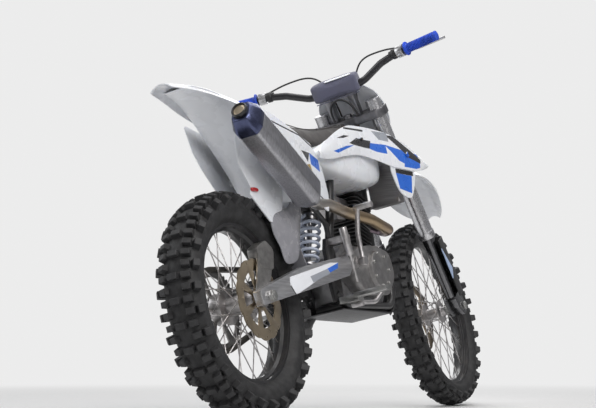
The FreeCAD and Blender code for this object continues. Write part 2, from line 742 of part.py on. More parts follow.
# Engine
case_outline = [
    (566, 420, 30), (590, 352, 20), (860, 349, 50), (925, 420, 60), (905, 520, 40), (860, 560, 20),
    (760, 545, 20), (640, 548, 30), (566, 500, 30),
]
crankcase_raw = slab("CrankcaseBlock", "XZ_Plane", case_outline, "2 * case_half")
output_shaft = cross_rod("OutputShaft", S.drive_x, S.drive_z, "10 - pin_fit", "chain_y - case_half + 12",
                         (S.chain_y + S.case_half + 12) / 2)
crankcase = cut("CrankcaseBody", cut("CrankcaseTrimmed", fuse("CrankcaseSolid", [crankcase_raw, output_shaft]),
                                     frame_body), swingarm)
node("crankcase", chassis, [crankcase])
node("drive_sprocket", chassis, [drive_sprocket])

CLUTCH_COVER = [
    (590, 500, 30), (580, 430, 30), (640, 385, 30), (720, 368, 60), (830, 372, 60), (905, 440, 60),
    (890, 520, 40), (800, 540, 60), (660, 530, 40),
]
GENERATOR_COVER = [(700, 400, 40), (770, 362, 40), (860, 380, 50), (895, 450, 60), (860, 530, 50), (760, 540, 50),
                   (700, 490, 40)]
SPROCKET_COVER = [(575, 420, 25), (640, 400, 25), (692, 430, 25), (690, 500, 30), (620, 520, 30), (575, 490, 25)]
clutch_cover = fuse("ClutchCoverBody", [
    slab("ClutchCoverPlate", "XZ_Plane", CLUTCH_COVER, "50", -S.case_half - 25),
    cross_rod("ClutchDome", 765, 452, "66", "20", -S.case_half - 56),
    cross_rod("KickBoss", 612, 470, "20", "16", -S.case_half - 54),
])
generator_cover = fuse("GeneratorCoverBody", [
    slab("GeneratorCoverPlate", "XZ_Plane", GENERATOR_COVER, "36", S.case_half + 18),
    cross_rod("GeneratorDome", 800, 450, "56", "12", S.case_half + 40),
])
node("clutch_cover", chassis, [clutch_cover])
node("generator_cover", chassis, [generator_cover])
sprocket_cover = slab("SprocketCoverBody", "XZ_Plane", SPROCKET_COVER, "10",
                      S.chain_y + S.chain_width / 2 + S.running_gap + 5)
cover_post = cross_rod("CoverPost", 680, 470, "7", "chain_y - case_half + 20",
                       (S.chain_y + S.case_half + 20) / 2)
node("sprocket_cover", chassis, [fuse("SprocketCoverSolid", [sprocket_cover, cover_post])])

# Cylinder with its fins, laid out along its own leaning axis
cylinder_place = Placement(Vector(S.crank_x, 0, S.crank_z), Rotation(Y, S.cylinder_lean))


def fin_half(height):
    """Half size of the fin at a height along the cylinder."""
    return 57 if height < 200 else 62


cylinder_parts = [slab("Barrel", "XY_Plane", [(-44, -44, 20), (44, -44, 20), (44, 44, 20), (-44, 44, 20)],
                       "202", 203, (), cylinder_place)]
for index in range(int(S.fin_count)):
    height = 116 + index * S.fin_pitch
    half = fin_half(height)
    cylinder_parts.append(slab(f"Fin{index}", "XY_Plane", [
        (-half, -half, 18), (half, -half, 18), (half, half, 18), (-half, half, 18)],
        "fin_thickness", height, (), cylinder_place))
cylinder_parts.append(slab("HeadCover", "XY_Plane", [(-40, -38, 12), (40, -38, 12), (40, 38, 12), (-40, 38, 12)],
                           "26", 315, (), cylinder_place))
cylinder_solid = fuse("CylinderSolid", cylinder_parts)
cylinder_body = cut("CylinderBody", cut("CylinderTrimmed", cylinder_solid, crankcase), frame_body)
node("cylinder", chassis, [cylinder_body])

# Intake
intake = fuse("CarburettorSolid", [
    rod("IntakeBore", Vector(815, 0, 705), Vector(640, 0, 715), "27"),
    block("FloatBowl", Vector(735, 0, 676), 58, 60, 62),
    rod("CarburettorTop", Vector(738, 0, 700), Vector(742, 0, 752), "21"),
])
carburettor = cut("CarburettorTrimmed", intake, fuse("CarburettorMeets", [cylinder_solid, frame_solid]))
node("carburettor", chassis, [cut("CarburettorBody", carburettor, shock_body)])

AIRBOX = [(330, 700, 20), (300, 850, 20), (480, 850, 20), (560, 800, 20), (560, 700, 30), (430, 640, 30)]
airbox_raw = slab("AirboxBlock", "XZ_Plane", AIRBOX, "120")
airbox_meets = fuse("AirboxMeets", [frame_solid, subframe_solid, shock_body])
airbox = cut("AirboxBody", airbox_raw, airbox_meets)
node("airbox", chassis, [airbox])

# Exhaust
PIPE = [(900, 0, 672), (955, 0, 655), (952, -78, 608), (880, -126, 596), (760, -124, 622), (620, -104, 640),
        (480, -108, 655), (395, -114, 645), (316, -146, 640)]
pipe_raw = tube("HeaderTube", PIPE, "header_radius", 34)
silencer_front = Vector(300, -152, 644)
silencer_line = Vector(-0.860, -0.02, 0.511).normalize()
silencer_side = Vector(silencer_line.y, -silencer_line.x, 0).normalize()
silencer_place = Placement(silencer_front, Rotation(silencer_side, silencer_line.cross(silencer_side),
                                                    silencer_line, "XYZ"))
SILENCER = [(-44, -26, 14), (-30, -50, 14), (30, -50, 14), (44, -26, 14),
            (44, 26, 14), (30, 50, 14), (-30, 50, 14), (-44, 26, 14)]


def shrunk(points, share):
    """The same outline at a share of its size."""
    return [(a * share, b * share, radius * share) for a, b, radius in points]


def up_silencer(distance):
    """The plane across the silencer at a distance from its front."""
    return Placement(silencer_place.multVec(Vector(0, 0, distance)), silencer_place.Rotation)


silencer_raw = loft("SilencerShell", [
    (up_silencer(0), shrunk(SILENCER, 0.62)),
    (up_silencer(34), SILENCER),
    (up_silencer(S.silencer_length), SILENCER),
])
cap_end = S.silencer_length + S.silencer_cap
cap_raw = loft("CapShell", [
    (up_silencer(S.silencer_length), SILENCER),
    (up_silencer(S.silencer_length + 22), SILENCER),
    (up_silencer(cap_end), shrunk(SILENCER, 0.66)),
])
outlet = rod("Outlet", silencer_place.multVec(Vector(0, 0, cap_end - S.outlet_depth)),
             silencer_place.multVec(Vector(0, 0, cap_end + 1)), "outlet_radius")
header_pipe = cut("HeaderPipeBody", pipe_raw, fuse("PipeMeets", [cylinder_solid, silencer_raw]))
node("header_pipe", chassis, [header_pipe])
silencer = cut("SilencerBody", silencer_raw, subframe_solid)
node("silencer", chassis, [silencer])
node("silencer_cap", chassis, [cut("CapBody", cap_raw, outlet)])

# Tank: columns are x, half width, underside, upper edge of the side, top, half width of the top
TANK = (
    (440, 96, 790, 818, 838, 60),
    (560, 126, 765, 850, 884, 84),
    (760, 140, 742, 884, 936, 104),
    (900, 134, 750, 906, 975, 92),
    (962, 98, 800, 925, 978, 58),
)


def tank_section(half, under, edge, top, top_half):
    """Section of the tank with rounded corners."""
    return [(-half, under + 14, 10), (-half * 0.72, under, 10), (half * 0.72, under, 10), (half, under + 14, 10),
            (half, edge, 10), (top_half, top, 10), (-top_half, top, 10), (-half, edge, 10)]


tank_raw = loft("TankShell", [(across(x), tank_section(*rest)) for x, *rest in TANK])
cap_base = Vector(905, 0, 960)
filler = rod("FillerCap", cap_base, cap_base + Vector(0, 0, 47), "30")
tank_meets = fuse("TankMeets", [frame_solid, subframe_solid, cylinder_solid, airbox, intake, shock_body])
tank_solid = fuse("TankSolid", [tank_raw, filler])

# Seat: columns are x, half width, half width of the top, base, edge of the side, top
SEAT = (
    (205, 62, 50, 905, 915, 930),
    (372, 92, 70, 868, 880, 922),
    (490, 112, 72, 832, 850, 918),
    (640, 100, 70, 862, 880, 944),
    (760, 82, 56, 930, 945, 974),
    (856, 52, 40, 972, 978, 990),
)


def seat_section(half, top_half, base, edge, top):
    """Section of the seat."""
    return [(-half, base), (half, base), (half, edge), (top_half, top), (-top_half, top), (-half, edge)]


seat_raw = loft("SeatBlock", [(across(x), seat_section(*rest)) for x, *rest in SEAT])
tank = cut("TankBody", cut("TankTrimmed", tank_solid, tank_meets), seat_raw)
node("fuel_tank", chassis, [tank])

# Fenders: columns are x, half width, half width of the flat, crown, drop of the sides
REAR_FENDER = (
    (-216, 38, 24, 968, 14),
    (-100, 66, 42, 976, 24),
    (0, 86, 55, 968, 32),
    (110, 93, 62, 956, 34),
    (205, 105, 68, 936, 34),
    (330, 110, 72, 902, 34),
    (440, 108, 74, 872, 34),
)


def roof(half, flat_half, crown, drop):
    """Section of a fender: a thin folded sheet that is open below."""
    inner = S.wall
    fold = 12
    return [(-half, crown - drop), (-flat_half, crown, fold), (flat_half, crown, fold), (half, crown - drop),
            (half - inner, crown - drop), (flat_half - inner * 0.6, crown - inner, fold - inner),
            (-flat_half + inner * 0.6, crown - inner, fold - inner), (-half + inner, crown - drop)]


rear_fender_raw = loft("RearFenderShell", [(across(x), roof(*rest)) for x, *rest in REAR_FENDER])
fender_meets = fuse("FenderMeets", [subframe_solid, airbox_raw, tank_raw])
rear_fender = cut("RearFenderBody", rear_fender_raw, fender_meets)
node("rear_fender", chassis, [rear_fender])
seat_meets = fuse("SeatMeets", [subframe_solid, frame_solid, rear_fender_raw, airbox_raw])
node("seat", chassis, [cut("SeatBody", seat_raw, seat_meets)])

# Side plates
SIDE_PLATE = [
    (80, 925, 6), (105, 845, 20), (140, 795, 30), (206, 728, 20), (455, 622, 8), (474, 680, 40), (462, 775, 30),
    (415, 840, 30), (330, 868, 60), (200, 905, 60),
]
side_plates = []
for side, sign in SIDES:
    plate = slab(f"SidePlate{side}Blank", "XZ_Plane", SIDE_PLATE, "wall", sign * 122)
    stay = cross_rod(f"PlateStay{side}", 300, 764, "10", "62", sign * 93)
    plate_meets = [subframe_solid, rear_fender_raw, seat_raw] + ([silencer_raw, pipe_raw] if sign < 0 else [])
    side_plates.append(cut(f"SidePlate{side}", fuse(f"SidePlate{side}Solid", [plate, stay]),
                           fuse(f"PlateMeets{side}", plate_meets)))
node("side_plates", chassis, side_plates)

# Panels round the rear wheel
GUARD = [(12, 742, 6), (60, 672, 6), (50, 650, 6), (142, 578, 8), (193, 574, 12), (240, 640, 20), (270, 740, 20),
         (235, 815, 20), (120, 880, 20), (20, 830, 20)]
inner_guard = slab("InnerGuardBlank", "XZ_Plane", GUARD, "wall", -77)
node("inner_guard", chassis, [cut("InnerGuardBody", inner_guard, subframe_solid)])

flap_radius = S.rear_tyre_radius + 18
flap_edges = []
for radius, angles in ((flap_radius, (17, 42, 66)), (flap_radius + S.wall, (66, 42, 17))):
    flap_edges.append([wheel_point(radius, 0, angle) + Vector(0, 0, rear_axle_z) for angle in angles])
flap_geometry = []
for index, edge in enumerate(flap_edges):
    first, middle, last = [Vector(point.x, point.z, 0) for point in edge]
    following = flap_edges[1 - index][0]
    flap_geometry.append(Part.ArcOfCircle(first, middle, last))
    flap_geometry.append(Part.LineSegment(last, Vector(following.x, following.z, 0)))
flap_curve = plate_on_axle("FlapCurve", flap_geometry, "132", -9)
FLAP_WING = [(352, 470, 10), (420, 560, 30), (428, 640, 20), (400, 684, 12), (330, 664, 30), (256, 610, 12),
             (322, 520, 40)]
flap_wing = slab("FlapWing", "XZ_Plane", FLAP_WING, "wall", -75 + S.wall / 2)
flap_clear = cross_rod("FlapClear", 0, rear_axle_z, f"{flap_radius}", "200")
flap_solid = cut("FlapSolid", fuse("FlapRaw", [flap_curve, flap_wing]), flap_clear)
flap_meets = fuse("FlapMeets", [subframe_solid, airbox_raw, swingarm, shock_body])
node("mud_flap", chassis, [cut("MudFlapBody", flap_solid, flap_meets)])

# Skid plate under the cradle
cradle_low = 338 - S.frame_tube
SKID = [(530, cradle_low + 3), (900, cradle_low - 3, 50), (968, 420), (968 + 4, 416), (904, cradle_low - 7, 54),
        (530, cradle_low - 1)]
skid_raw = slab("SkidBlank", "XZ_Plane", SKID, "148")
skid_trimmed = cut("SkidTrimmed", skid_raw, frame_solid)

# Footpegs and foot controls
footpegs = []
for side, sign in SIDES:
    peg = block(f"Peg{side}", Vector(528, sign * 185, 356), 44, 112, 14)
    arm = block(f"PegBracket{side}", Vector(540, sign * 102, 350), 40, 66, 22)
    footpegs.append(cut(f"Footpeg{side}", fuse(f"Footpeg{side}Solid", [peg, arm]), frame_solid))
node("footpegs", chassis, footpegs)

kick_y = -S.case_half - 62
kick = fuse("KickSolid", [
    cross_rod("KickHub", 612, 470, "15", "26", kick_y - 13),
    tube("KickArm", [(612, kick_y - 14, 470), (604, kick_y - 18, 560), (612, kick_y - 30, 644)], "8", 120),
    cross_rod("KickPedal", 614, 644, "10", "64", kick_y - 50),
])
node("kick_lever", chassis, [kick])
brake_pedal = fuse("BrakePedalSolid", [
    cross_rod("PedalPivot", 560, 334, "11", "40", -112),
    tube("PedalArm", [(560, -126, 334), (640, -136, 336), (706, -138, 372)], "7", 60),
    block("PedalToe", Vector(712, -140, 378), 36, 34, 9),
])
node("brake_pedal", chassis, [cut("BrakePedalBody", brake_pedal, fuse("PedalMeets", footpegs + [frame_solid]))])
gear_lever = fuse("GearLeverSolid", [
    cross_rod("GearShaft", 668, 392, "7", "62", S.case_half + 31),
    tube("GearArm", [(668, S.case_half + 56, 392), (735, S.case_half + 60, 386),
                     (800, S.case_half + 66, 372)], "6", 60),
    cross_rod("GearToe", 800, 372, "9", "36", S.case_half + 82),
])
node("gear_lever", chassis, [gear_lever])

# Rear brake
master_y = -(S.arm_inside + S.arm_width + 16)
master = fuse("MasterSolid", [
    rod("MasterBody", Vector(518, master_y, 576), Vector(538, master_y, 486), "13"),
    rod("MasterRod", Vector(538, master_y, 490), Vector(552, master_y, 400), "5"),
    block("MasterBracket", Vector(548, master_y / 2 - 27, 545), 26, -master_y - 52, 22),
])
master_meets = fuse("MasterMeets", [frame_solid, subframe_solid])
node("rear_master_cylinder", chassis, [cut("MasterBodyCut", master, master_meets)])

rear_disc_gap = S.disc_thickness / 2 + 1.5
caliper_raw = slab("CaliperBlock", "XZ_Plane", [(20, 92, 12), (92, 88, 14), (112, 150, 20), (70, 176, 20),
                                                (12, 150, 16)], "34", S.rear_disc_y + 2,
                   (), Placement(Vector(0, 0, rear_axle_z), Rotation()))
carrier = slab("CaliperCarrier", "XZ_Plane", [
    (-24, -24, 20), (24, -24, 20), (90, 96, 10), (60, 150, 10), (20, 130, 20), (-24, 24, 20)],
    "4", -S.arm_inside + 2.2, [ring(0, 0, 16 + S.pin_fit)], Placement(Vector(0, 0, rear_axle_z), Rotation()))
disc_space = cross_rod("RearDiscSpace", 0, rear_axle_z, "rear_disc_radius + 3", f"{2 * rear_disc_gap}",
                       S.rear_disc_y)
caliper = fuse("CaliperSolid", [cut("CaliperSlotted", caliper_raw, disc_space), carrier])
node("rear_caliper", chassis, [cut("CaliperBody", caliper, swingarm)])

# Side stand: the leg runs from its pivot to a foot that lies flat on the ground of the leaning bike
ground_slope = math.tan(math.radians(S.lean_angle))
ground_up = Vector(0, -math.sin(math.radians(S.lean_angle)), math.cos(math.radians(S.lean_angle)))
stand_pivot = Vector(S.stand_pivot_x, S.stand_pivot_y, S.stand_pivot_z)
stand_foot = Vector(S.stand_foot_x, S.stand_foot_y, S.stand_foot_y * ground_slope)
leg_line = direction(stand_pivot, stand_foot)
leg_folded = Vector(-0.97, 0.22, 0.10).normalize()
stand_axis = leg_line.cross(leg_folded).normalize()


def on_pivot(name, radius, start, end):
    """A cylinder on the side stand's pivot axis, between two distances from the pivot."""
    return rod(name, stand_pivot + stand_axis * start, stand_pivot + stand_axis * end, radius)


stand_solid = fuse("SideStandSolid", [
    rod("StandFoot", stand_foot, stand_foot + ground_up * 9, "stand_foot_radius"),
    rod("StandLeg", stand_foot + ground_up * 4, stand_pivot, "stand_tube"),
    on_pivot("StandEye", "17", -11, 11),
])
stand_bore = on_pivot("StandBore", "7 + pin_fit", -20, 20)
stand_mount = rod("StandMount", stand_pivot - stand_axis * 17, Vector(586, 62, 338), "14")
bracket_solid = fuse("StandBracketSolid", [
    on_pivot("StandPin", "7", -22, 14),
    on_pivot("StandPinHead", "12", 12, 18),
    on_pivot("StandFlange", "19", -22, -12),
    cut("StandMountTrimmed", stand_mount, on_pivot("StandEyeSpace", "26", -12, 40)),
])
node("side_stand", chassis, [cut("SideStandBody", stand_solid, stand_bore)])
node("stand_bracket", chassis, [cut("StandBracketBody", bracket_solid, frame_solid)])
node("skid_plate", chassis, [cut("SkidBody", skid_trimmed, bracket_solid)])

# Shrouds: columns are x, lower edge, its distance from the middle, upper edge, its distance
SHROUD = (
    (440, 796, 134, 820, 134),
    (520, 799, 137, 866, 132),
    (600, 819, 142, 906, 131),
    (700, 836, 148, 944, 131),
    (770, 837, 150, 948, 132),
    (860, 822, 164, 949, 141),
    (930, 806, 180, 943, 155),
    (1000, 803, 194, 928, 170),
    (1060, 801, 204, 896, 188),
    (1105, 812, 207, 863, 200),
    (1142, 824, 207, 834, 206),
)
# Wings that hang from the shrouds beside the radiators, in the same columns
WING = (
    (905, 800, 171, 818, 171),
    (932, 722, 172, 820, 174),
    (975, 708, 178, 822, 184),
    (1012, 697, 184, 820, 192),
    (1042, 784, 196, 818, 198),
)


def sheet_section(sign, low, low_y, high, high_y, bow):
    """Section of a panel of one wall that stands on edge and bows outwards."""
    middle = (low + high) / 2
    middle_y = (low_y + high_y) / 2 + bow
    outside = [(low_y, low), (middle_y, middle), (high_y, high)]
    inside = [(y - S.wall, z) for y, z in reversed(outside)]
    return [(sign * y, z) for y, z in outside + inside]


# Radiators on both sides of the down tube, each with its end tanks and two stays
radiator_x = 986
radiator_outside = S.radiator_inside + S.radiator_width

# Bosses that hold each shroud off the tank and the radiator: x, z and both ends across
TANK_BOSS = (740, 880, 110, 147)
RADIATOR_BOSS = (radiator_x, 835, radiator_outside, 187.3)
shrouds = []
for side, sign in SIDES:
    panels = []
    for part, table, bow in (("Shell", SHROUD, S.shroud_bow), ("Wing", WING, 0)):
        panels.append(loft(f"Shroud{side}{part}", [(across(x), sheet_section(sign, *rest, bow))
                                                   for x, *rest in table]))
    for place, (x, z, inside, outside) in (("Tank", TANK_BOSS), ("Radiator", RADIATOR_BOSS)):
        panels.append(cross_rod(f"Shroud{side}{place}Boss", x, z, "shroud_boss", f"{outside - inside}",
                                sign * (inside + outside) / 2))
    shrouds.append(cut(f"Shroud{side}", fuse(f"Shroud{side}Solid", panels),
                       fuse(f"ShroudMeets{side}", [tank_raw, seat_raw])))
node("shrouds", chassis, shrouds)

radiators = []
for side, sign in SIDES:
    middle_y = sign * (S.radiator_inside + S.radiator_width / 2)
    middle_z = S.radiator_low + S.radiator_height / 2
    pieces = [block(f"Core{side}", Vector(radiator_x, middle_y, middle_z), S.radiator_thickness,
                    S.radiator_width, S.radiator_height)]
    for end, z in (("Low", S.radiator_low + 9), ("High", S.radiator_low + S.radiator_height - 9)):
        corners = [(radiator_x + a * 19, middle_y + b * S.radiator_width / 2, 8)
                   for a, b in ((-1, -1), (1, -1), (1, 1), (-1, 1))]
        pieces.append(slab(f"EndTank{end}{side}", "XY_Plane", corners, "22", z))
        pieces.append(cross_rod(f"Stay{end}{side}", radiator_x + 6, z, "7", "radiator_inside + 4",
                                sign * (S.radiator_inside + 4) / 2))
    radiators.append(cut(f"Radiator{side}", fuse(f"Radiator{side}Solid", pieces), frame_solid))
node("radiators", chassis, radiators)

# Steering, laid out in the fork frame
CLAMP = [
    (-34, -30, 14), (-20, -112, 20), (4, -138, 20), (54, -138, 20), (60, -90, 20), (40, -40, 20), (40, 40, 20),
    (60, 90, 20), (54, 138, 20), (4, 138, 20), (-20, 112, 20), (-34, 30, 14),
]
fork_holes = [ring(S.clamp_offset, sign * S.fork_spread, S.fork_outer_radius) for _, sign in SIDES]
clamps = fuse("ClampsSolid", [
    slab("LowerClamp", "XY_Plane", CLAMP, "lower_clamp", S.lower_clamp_height + S.lower_clamp / 2, fork_holes),
    slab("UpperClamp", "XY_Plane", CLAMP, "upper_clamp", S.upper_clamp_height + S.upper_clamp / 2, fork_holes),
    rod("Stem", Vector(0, 0, S.lower_clamp_height), Vector(0, 0, S.upper_clamp_height + S.upper_clamp + 12),
        "stem_radius"),
])
node("triple_clamps", steering, [clamps])

fork_outers, fork_inners, fork_guards = [], [], []
for side, sign in SIDES:
    foot = Vector(S.clamp_offset, sign * S.fork_spread, 0)
    sleeve = rod(f"Outer{side}Sleeve", foot + Z * S.fork_outer_low, foot + Z * S.fork_top, "fork_outer_radius")
    collar = rod(f"Outer{side}Collar", foot + Z * S.fork_outer_low, foot + Z * (S.fork_outer_low + 26),
                 "fork_outer_radius + 3")
    bore = rod(f"Outer{side}Bore", foot + Z * (S.fork_outer_low - 1), foot + Z * (S.fork_top - 12),
               "fork_inner_radius + pin_fit")
    fork_outers.append(cut(f"ForkOuter{side}", fuse(f"ForkOuter{side}Solid", [sleeve, collar]), bore))
    inner = rod(f"Inner{side}Tube", foot + Z * 20, foot + Z * (S.fork_top - 20), "fork_inner_radius")
    shoe = slab(f"Shoe{side}", "XZ_Plane", [
        (-6, 60, 10), (-2, 20, 12), (32, -26, 20), (78, -26, 20), (84, 12, 20), (62, 62, 10)], "46",
        sign * S.fork_spread, [ring(axle_ahead, 0, S.front_axle_radius + S.pin_fit)])
    fork_inners.append(fuse(f"ForkInner{side}", [inner, shoe]))
    guard_out = S.fork_inner_radius + 20
    GUARD_SECTION = [(-22, guard_out, 0), (40, guard_out, 16), (40, -guard_out + 8, 0), (36, -guard_out + 8, 0),
                     (36, guard_out - 4, 12), (-22, guard_out - 4, 0)]
    guard = slab(f"ForkGuard{side}Blank", "XY_Plane", [(a, sign * b, radius) for a, b, radius in GUARD_SECTION],
                 "225", 170, (), Placement(foot, Rotation()))
    lug_block = block(f"ForkGuard{side}Lug", foot + Vector(28, 0, 90), 20, 30, 16)
    fork_guards.append(cut(f"ForkGuard{side}", fuse(f"ForkGuard{side}Solid", [guard, lug_block]),
                           fork_inners[-1]))
node("fork_outers", steering, fork_outers)
node("fork_lowers", steering, fork_inners)
node("fork_guards", steering, fork_guards)

front_axle_parts = [cross_rod("FrontShaft", axle_ahead, 0, "front_axle_radius", "2 * fork_spread + 66")]
spacer_left = S.fork_spread - 23 - front_nose - S.seat_gap
spacer_right = S.fork_spread - 23 - (front_nose - 16) - S.seat_gap
front_axle_parts.append(cross_rod("FrontSpacerLeft", axle_ahead, 0, "16", f"{spacer_left}",
                                  S.fork_spread - 23 - spacer_left / 2))
front_axle_parts.append(cross_rod("FrontSpacerRight", axle_ahead, 0, "16", f"{spacer_right}",
                                  -(S.fork_spread - 23 - spacer_right / 2)))
front_axle_parts.append(cross_rod("FrontNut", axle_ahead, 0, "15", "8", -(S.fork_spread + 23 + 4)))
node("front_axle", steering, [fuse("FrontAxleBody", front_axle_parts)])

front_caliper_raw = slab("FrontCaliperBlock", "XZ_Plane", [
    (-96, 10, 14), (-60, 96, 20), (-104, 122, 20), (-150, 60, 20), (-146, 6, 14)], "36", S.front_disc_y + 1,
    (), Placement(Vector(axle_ahead, 0, 0), Rotation()))
front_disc_space = cross_rod("FrontDiscSpace", axle_ahead, 0, "front_disc_radius + 3", f"{2 * rear_disc_gap}",
                             S.front_disc_y)
front_carrier = block("FrontCarrier", Vector(-22, S.fork_spread - 27, 52), 80, 10, 34)
front_caliper = cut("FrontCaliperBody", fuse("FrontCaliperSolid", [
    cut("FrontCaliperSlotted", front_caliper_raw, front_disc_space), front_carrier]), fork_inners[0])
node("front_caliper", steering, [front_caliper])

# Handlebar: columns are distance from the middle, ahead of the steering axis, height along the fork
BAR = ((60, 0, 922), (112, 0, 932), (188, 0, 968), (252, -2, 984), (S.bar_half, -24, 1000))
bar_points = [(ahead, -y, height) for y, ahead, height in reversed(BAR)]
bar_points += [(ahead, y, height) for y, ahead, height in BAR]
handlebar_raw = tube("Bar", bar_points, "bar_radius", 60)
risers = []
for side, sign in SIDES:
    risers.append(block(f"Riser{side}", Vector(0, sign * 44, (S.upper_clamp_height + S.upper_clamp + 940) / 2),
                        36, 22, 940 - S.upper_clamp_height - S.upper_clamp))
riser_body = cut("RisersBody", fuse("RisersSolid", risers), handlebar_raw)
node("handlebar", steering, [handlebar_raw])
node("bar_mounts", steering, [riser_body])
PAD = [(-26, 904, 12), (30, 904, 12), (30, 970, 16), (-22, 970, 16)]
pad_raw = slab("PadBlank", "XZ_Plane", PAD, "176")
pad_meets = fuse("PadMeets", [handlebar_raw, fuse("PadRisers", risers)])
node("bar_pad", steering, [cut("BarPadBody", pad_raw, pad_meets)])

grips, levers = [], []
for side, sign in SIDES:
    outer = Vector(BAR[-1][1], sign * BAR[-1][0], BAR[-1][2])
    inner = Vector(BAR[-2][1], sign * BAR[-2][0], BAR[-2][2])
    line = direction(outer, inner)
    grip = rod(f"Grip{side}Solid", outer - line * 4, outer + line * S.grip_length, "grip_radius")
    flange = rod(f"Grip{side}Flange", outer + line * (S.grip_length - 6), outer + line * S.grip_length,
                 "grip_radius + 8")
    grips.append(cut(f"Grip{side}", fuse(f"Grip{side}Whole", [grip, flange]), handlebar_raw))
    perch = rod(f"Perch{side}Ring", outer + line * (S.grip_length + 8), outer + line * (S.grip_length + 34), "21")
    pivot = outer + line * (S.grip_length + 20) + Vector(40, 0, -12)
    arm = rod(f"Perch{side}Arm", outer + line * (S.grip_length + 20), pivot + Vector(6, 0, -2), "10")
    lever = tube(f"Lever{side}Blade", [pivot, pivot + Vector(14, sign * 50, -6), pivot + Vector(10, sign * 150, 0)],
                 "5", 60)
    levers.append(cut(f"Lever{side}", fuse(f"Lever{side}Solid", [perch, arm, lever]), handlebar_raw))
node("grips", steering, grips)
node("levers", steering, levers)

# Front fender, laid out on the upright bike: columns are x, half width, half width of the flat, crown, drop
FRONT_FENDER = (
    (1120, 50, 32, 806, 14),
    (1160, 58, 38, 850, 26),
    (1215, 64, 42, 876, 34),
    (1300, 100, 58, 892, 40),
    (1400, 108, 62, 892, 42),
    (1500, 106, 60, 868, 44),
    (1560, 94, 52, 826, 42),
    (1640, 66, 38, 784, 30),
    (1710, 30, 20, 756, 14),
)
fender_home = head.inverse()
front_fender_raw = loft("FrontFenderShell", [(fender_home.multiply(across(x)), roof(*rest))
                                             for x, *rest in FRONT_FENDER])
fender_post = block("FenderPost", Vector(12, 0, S.lower_clamp_height - 32), 56, 60, 66)
front_fender = cut("FrontFenderBody", fuse("FrontFenderSolid", [front_fender_raw, fender_post]),
                   clamps)
node("front_fender", steering, [front_fender])

# Number plate: columns are height along the fork, half width, ahead of the steering axis
NUMBER_PLATE = ((655, 62, 92), (720, 100, 100), (800, 112, 92), (880, 96, 74), (930, 60, 66))


def shield(half, ahead):
    """Section of the number plate, bowed forwards."""
    bow = 26
    return [(ahead, 0), (ahead - bow, half), (ahead - bow - S.wall, half - 2), (ahead - S.wall, 0),
            (ahead - bow - S.wall, -half + 2), (ahead - bow, -half)]


plate_raw = loft("NumberPlateShell", [(Placement(Vector(0, 0, height), Rotation()), shield(half, ahead))
                                      for height, half, ahead in NUMBER_PLATE])
plate_stays = [block("PlateStayLow", Vector(64, 0, S.lower_clamp_height + 50), 50, 40, 12),
               block("PlateStayHigh", Vector(52, 0, S.upper_clamp_height + 12), 60, 40, 12)]
plate_neighbours = fuse("NumberPlateMeets", [clamps, pad_raw] + fork_outers)
number_plate = cut("NumberPlateBody", fuse("NumberPlateSolid", [plate_raw] + plate_stays), plate_neighbours)
node("number_plate", steering, [number_plate])

doc.recompute()
failed = [item.Name for item in doc.Objects if {"Invalid", "Error"} & set(item.State)]
if failed:
    raise SystemExit("These features failed: " + ", ".join(failed))
for holder in nodes:
    if holder.Shape.isNull() or not holder.Shape.isValid() or not holder.Shape.Solids:
        raise SystemExit("This node has no sound shape: " + holder.Label)

# The origin is at the middle of the footprint
bounds = FreeCAD.BoundBox()
for holder in nodes:
    bounds.add(holder.Shape.BoundBox)
home = Placement(Vector(-bounds.Center.x, -bounds.Center.y, 0), Rotation())
for holder in nodes:
    holder.Placement = home.multiply(holder.Placement)
doc.recompute()

os.makedirs("parts", exist_ok=True)
for holder in nodes:
    holder.Shape.exportStep(f"parts/{holder.Label}.step")
    print(f"{holder.Label}: {len(holder.Shape.Solids)} solids, {holder.Shape.Volume / 1000:.1f} cm3")
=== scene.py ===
"""The looks of a dirt bike that leans on its side stand, in metres, over its fixed frame."""

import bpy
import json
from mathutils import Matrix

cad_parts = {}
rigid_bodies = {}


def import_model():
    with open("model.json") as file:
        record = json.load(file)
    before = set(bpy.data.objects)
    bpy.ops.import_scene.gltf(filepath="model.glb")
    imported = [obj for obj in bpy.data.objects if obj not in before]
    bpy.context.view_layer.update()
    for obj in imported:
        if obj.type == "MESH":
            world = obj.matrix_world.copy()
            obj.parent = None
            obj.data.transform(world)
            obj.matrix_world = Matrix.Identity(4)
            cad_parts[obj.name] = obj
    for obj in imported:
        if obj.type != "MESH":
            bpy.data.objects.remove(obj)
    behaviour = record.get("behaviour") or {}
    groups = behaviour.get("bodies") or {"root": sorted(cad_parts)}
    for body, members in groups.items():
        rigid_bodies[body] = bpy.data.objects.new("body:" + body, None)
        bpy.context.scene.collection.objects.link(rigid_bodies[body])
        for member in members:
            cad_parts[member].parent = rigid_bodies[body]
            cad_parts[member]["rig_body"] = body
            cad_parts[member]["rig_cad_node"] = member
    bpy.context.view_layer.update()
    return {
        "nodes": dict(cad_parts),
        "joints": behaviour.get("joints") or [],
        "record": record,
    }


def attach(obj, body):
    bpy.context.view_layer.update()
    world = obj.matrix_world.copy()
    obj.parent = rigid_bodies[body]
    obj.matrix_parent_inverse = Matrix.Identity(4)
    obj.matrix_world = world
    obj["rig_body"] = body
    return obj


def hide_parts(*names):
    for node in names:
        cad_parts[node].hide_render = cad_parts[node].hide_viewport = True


bl_info = {
    "name": "Dirt Bike Looks",
    "version": (1, 0, 0),
    "blender": (4, 5, 0),
    "location": "View3D > Sidebar > Dirt Bike",
    "description": "Finishes and detailed pieces of a dirt bike, with its stage and camera",
    "category": "Add Mesh",
}

import json
import math

import bmesh
import bpy
from bpy.props import FloatProperty, FloatVectorProperty, IntProperty, PointerProperty
from mathutils import Matrix, Vector

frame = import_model()

MM = 0.001
# The left and the right side, by the sign of Y
SIDES = (1, -1)

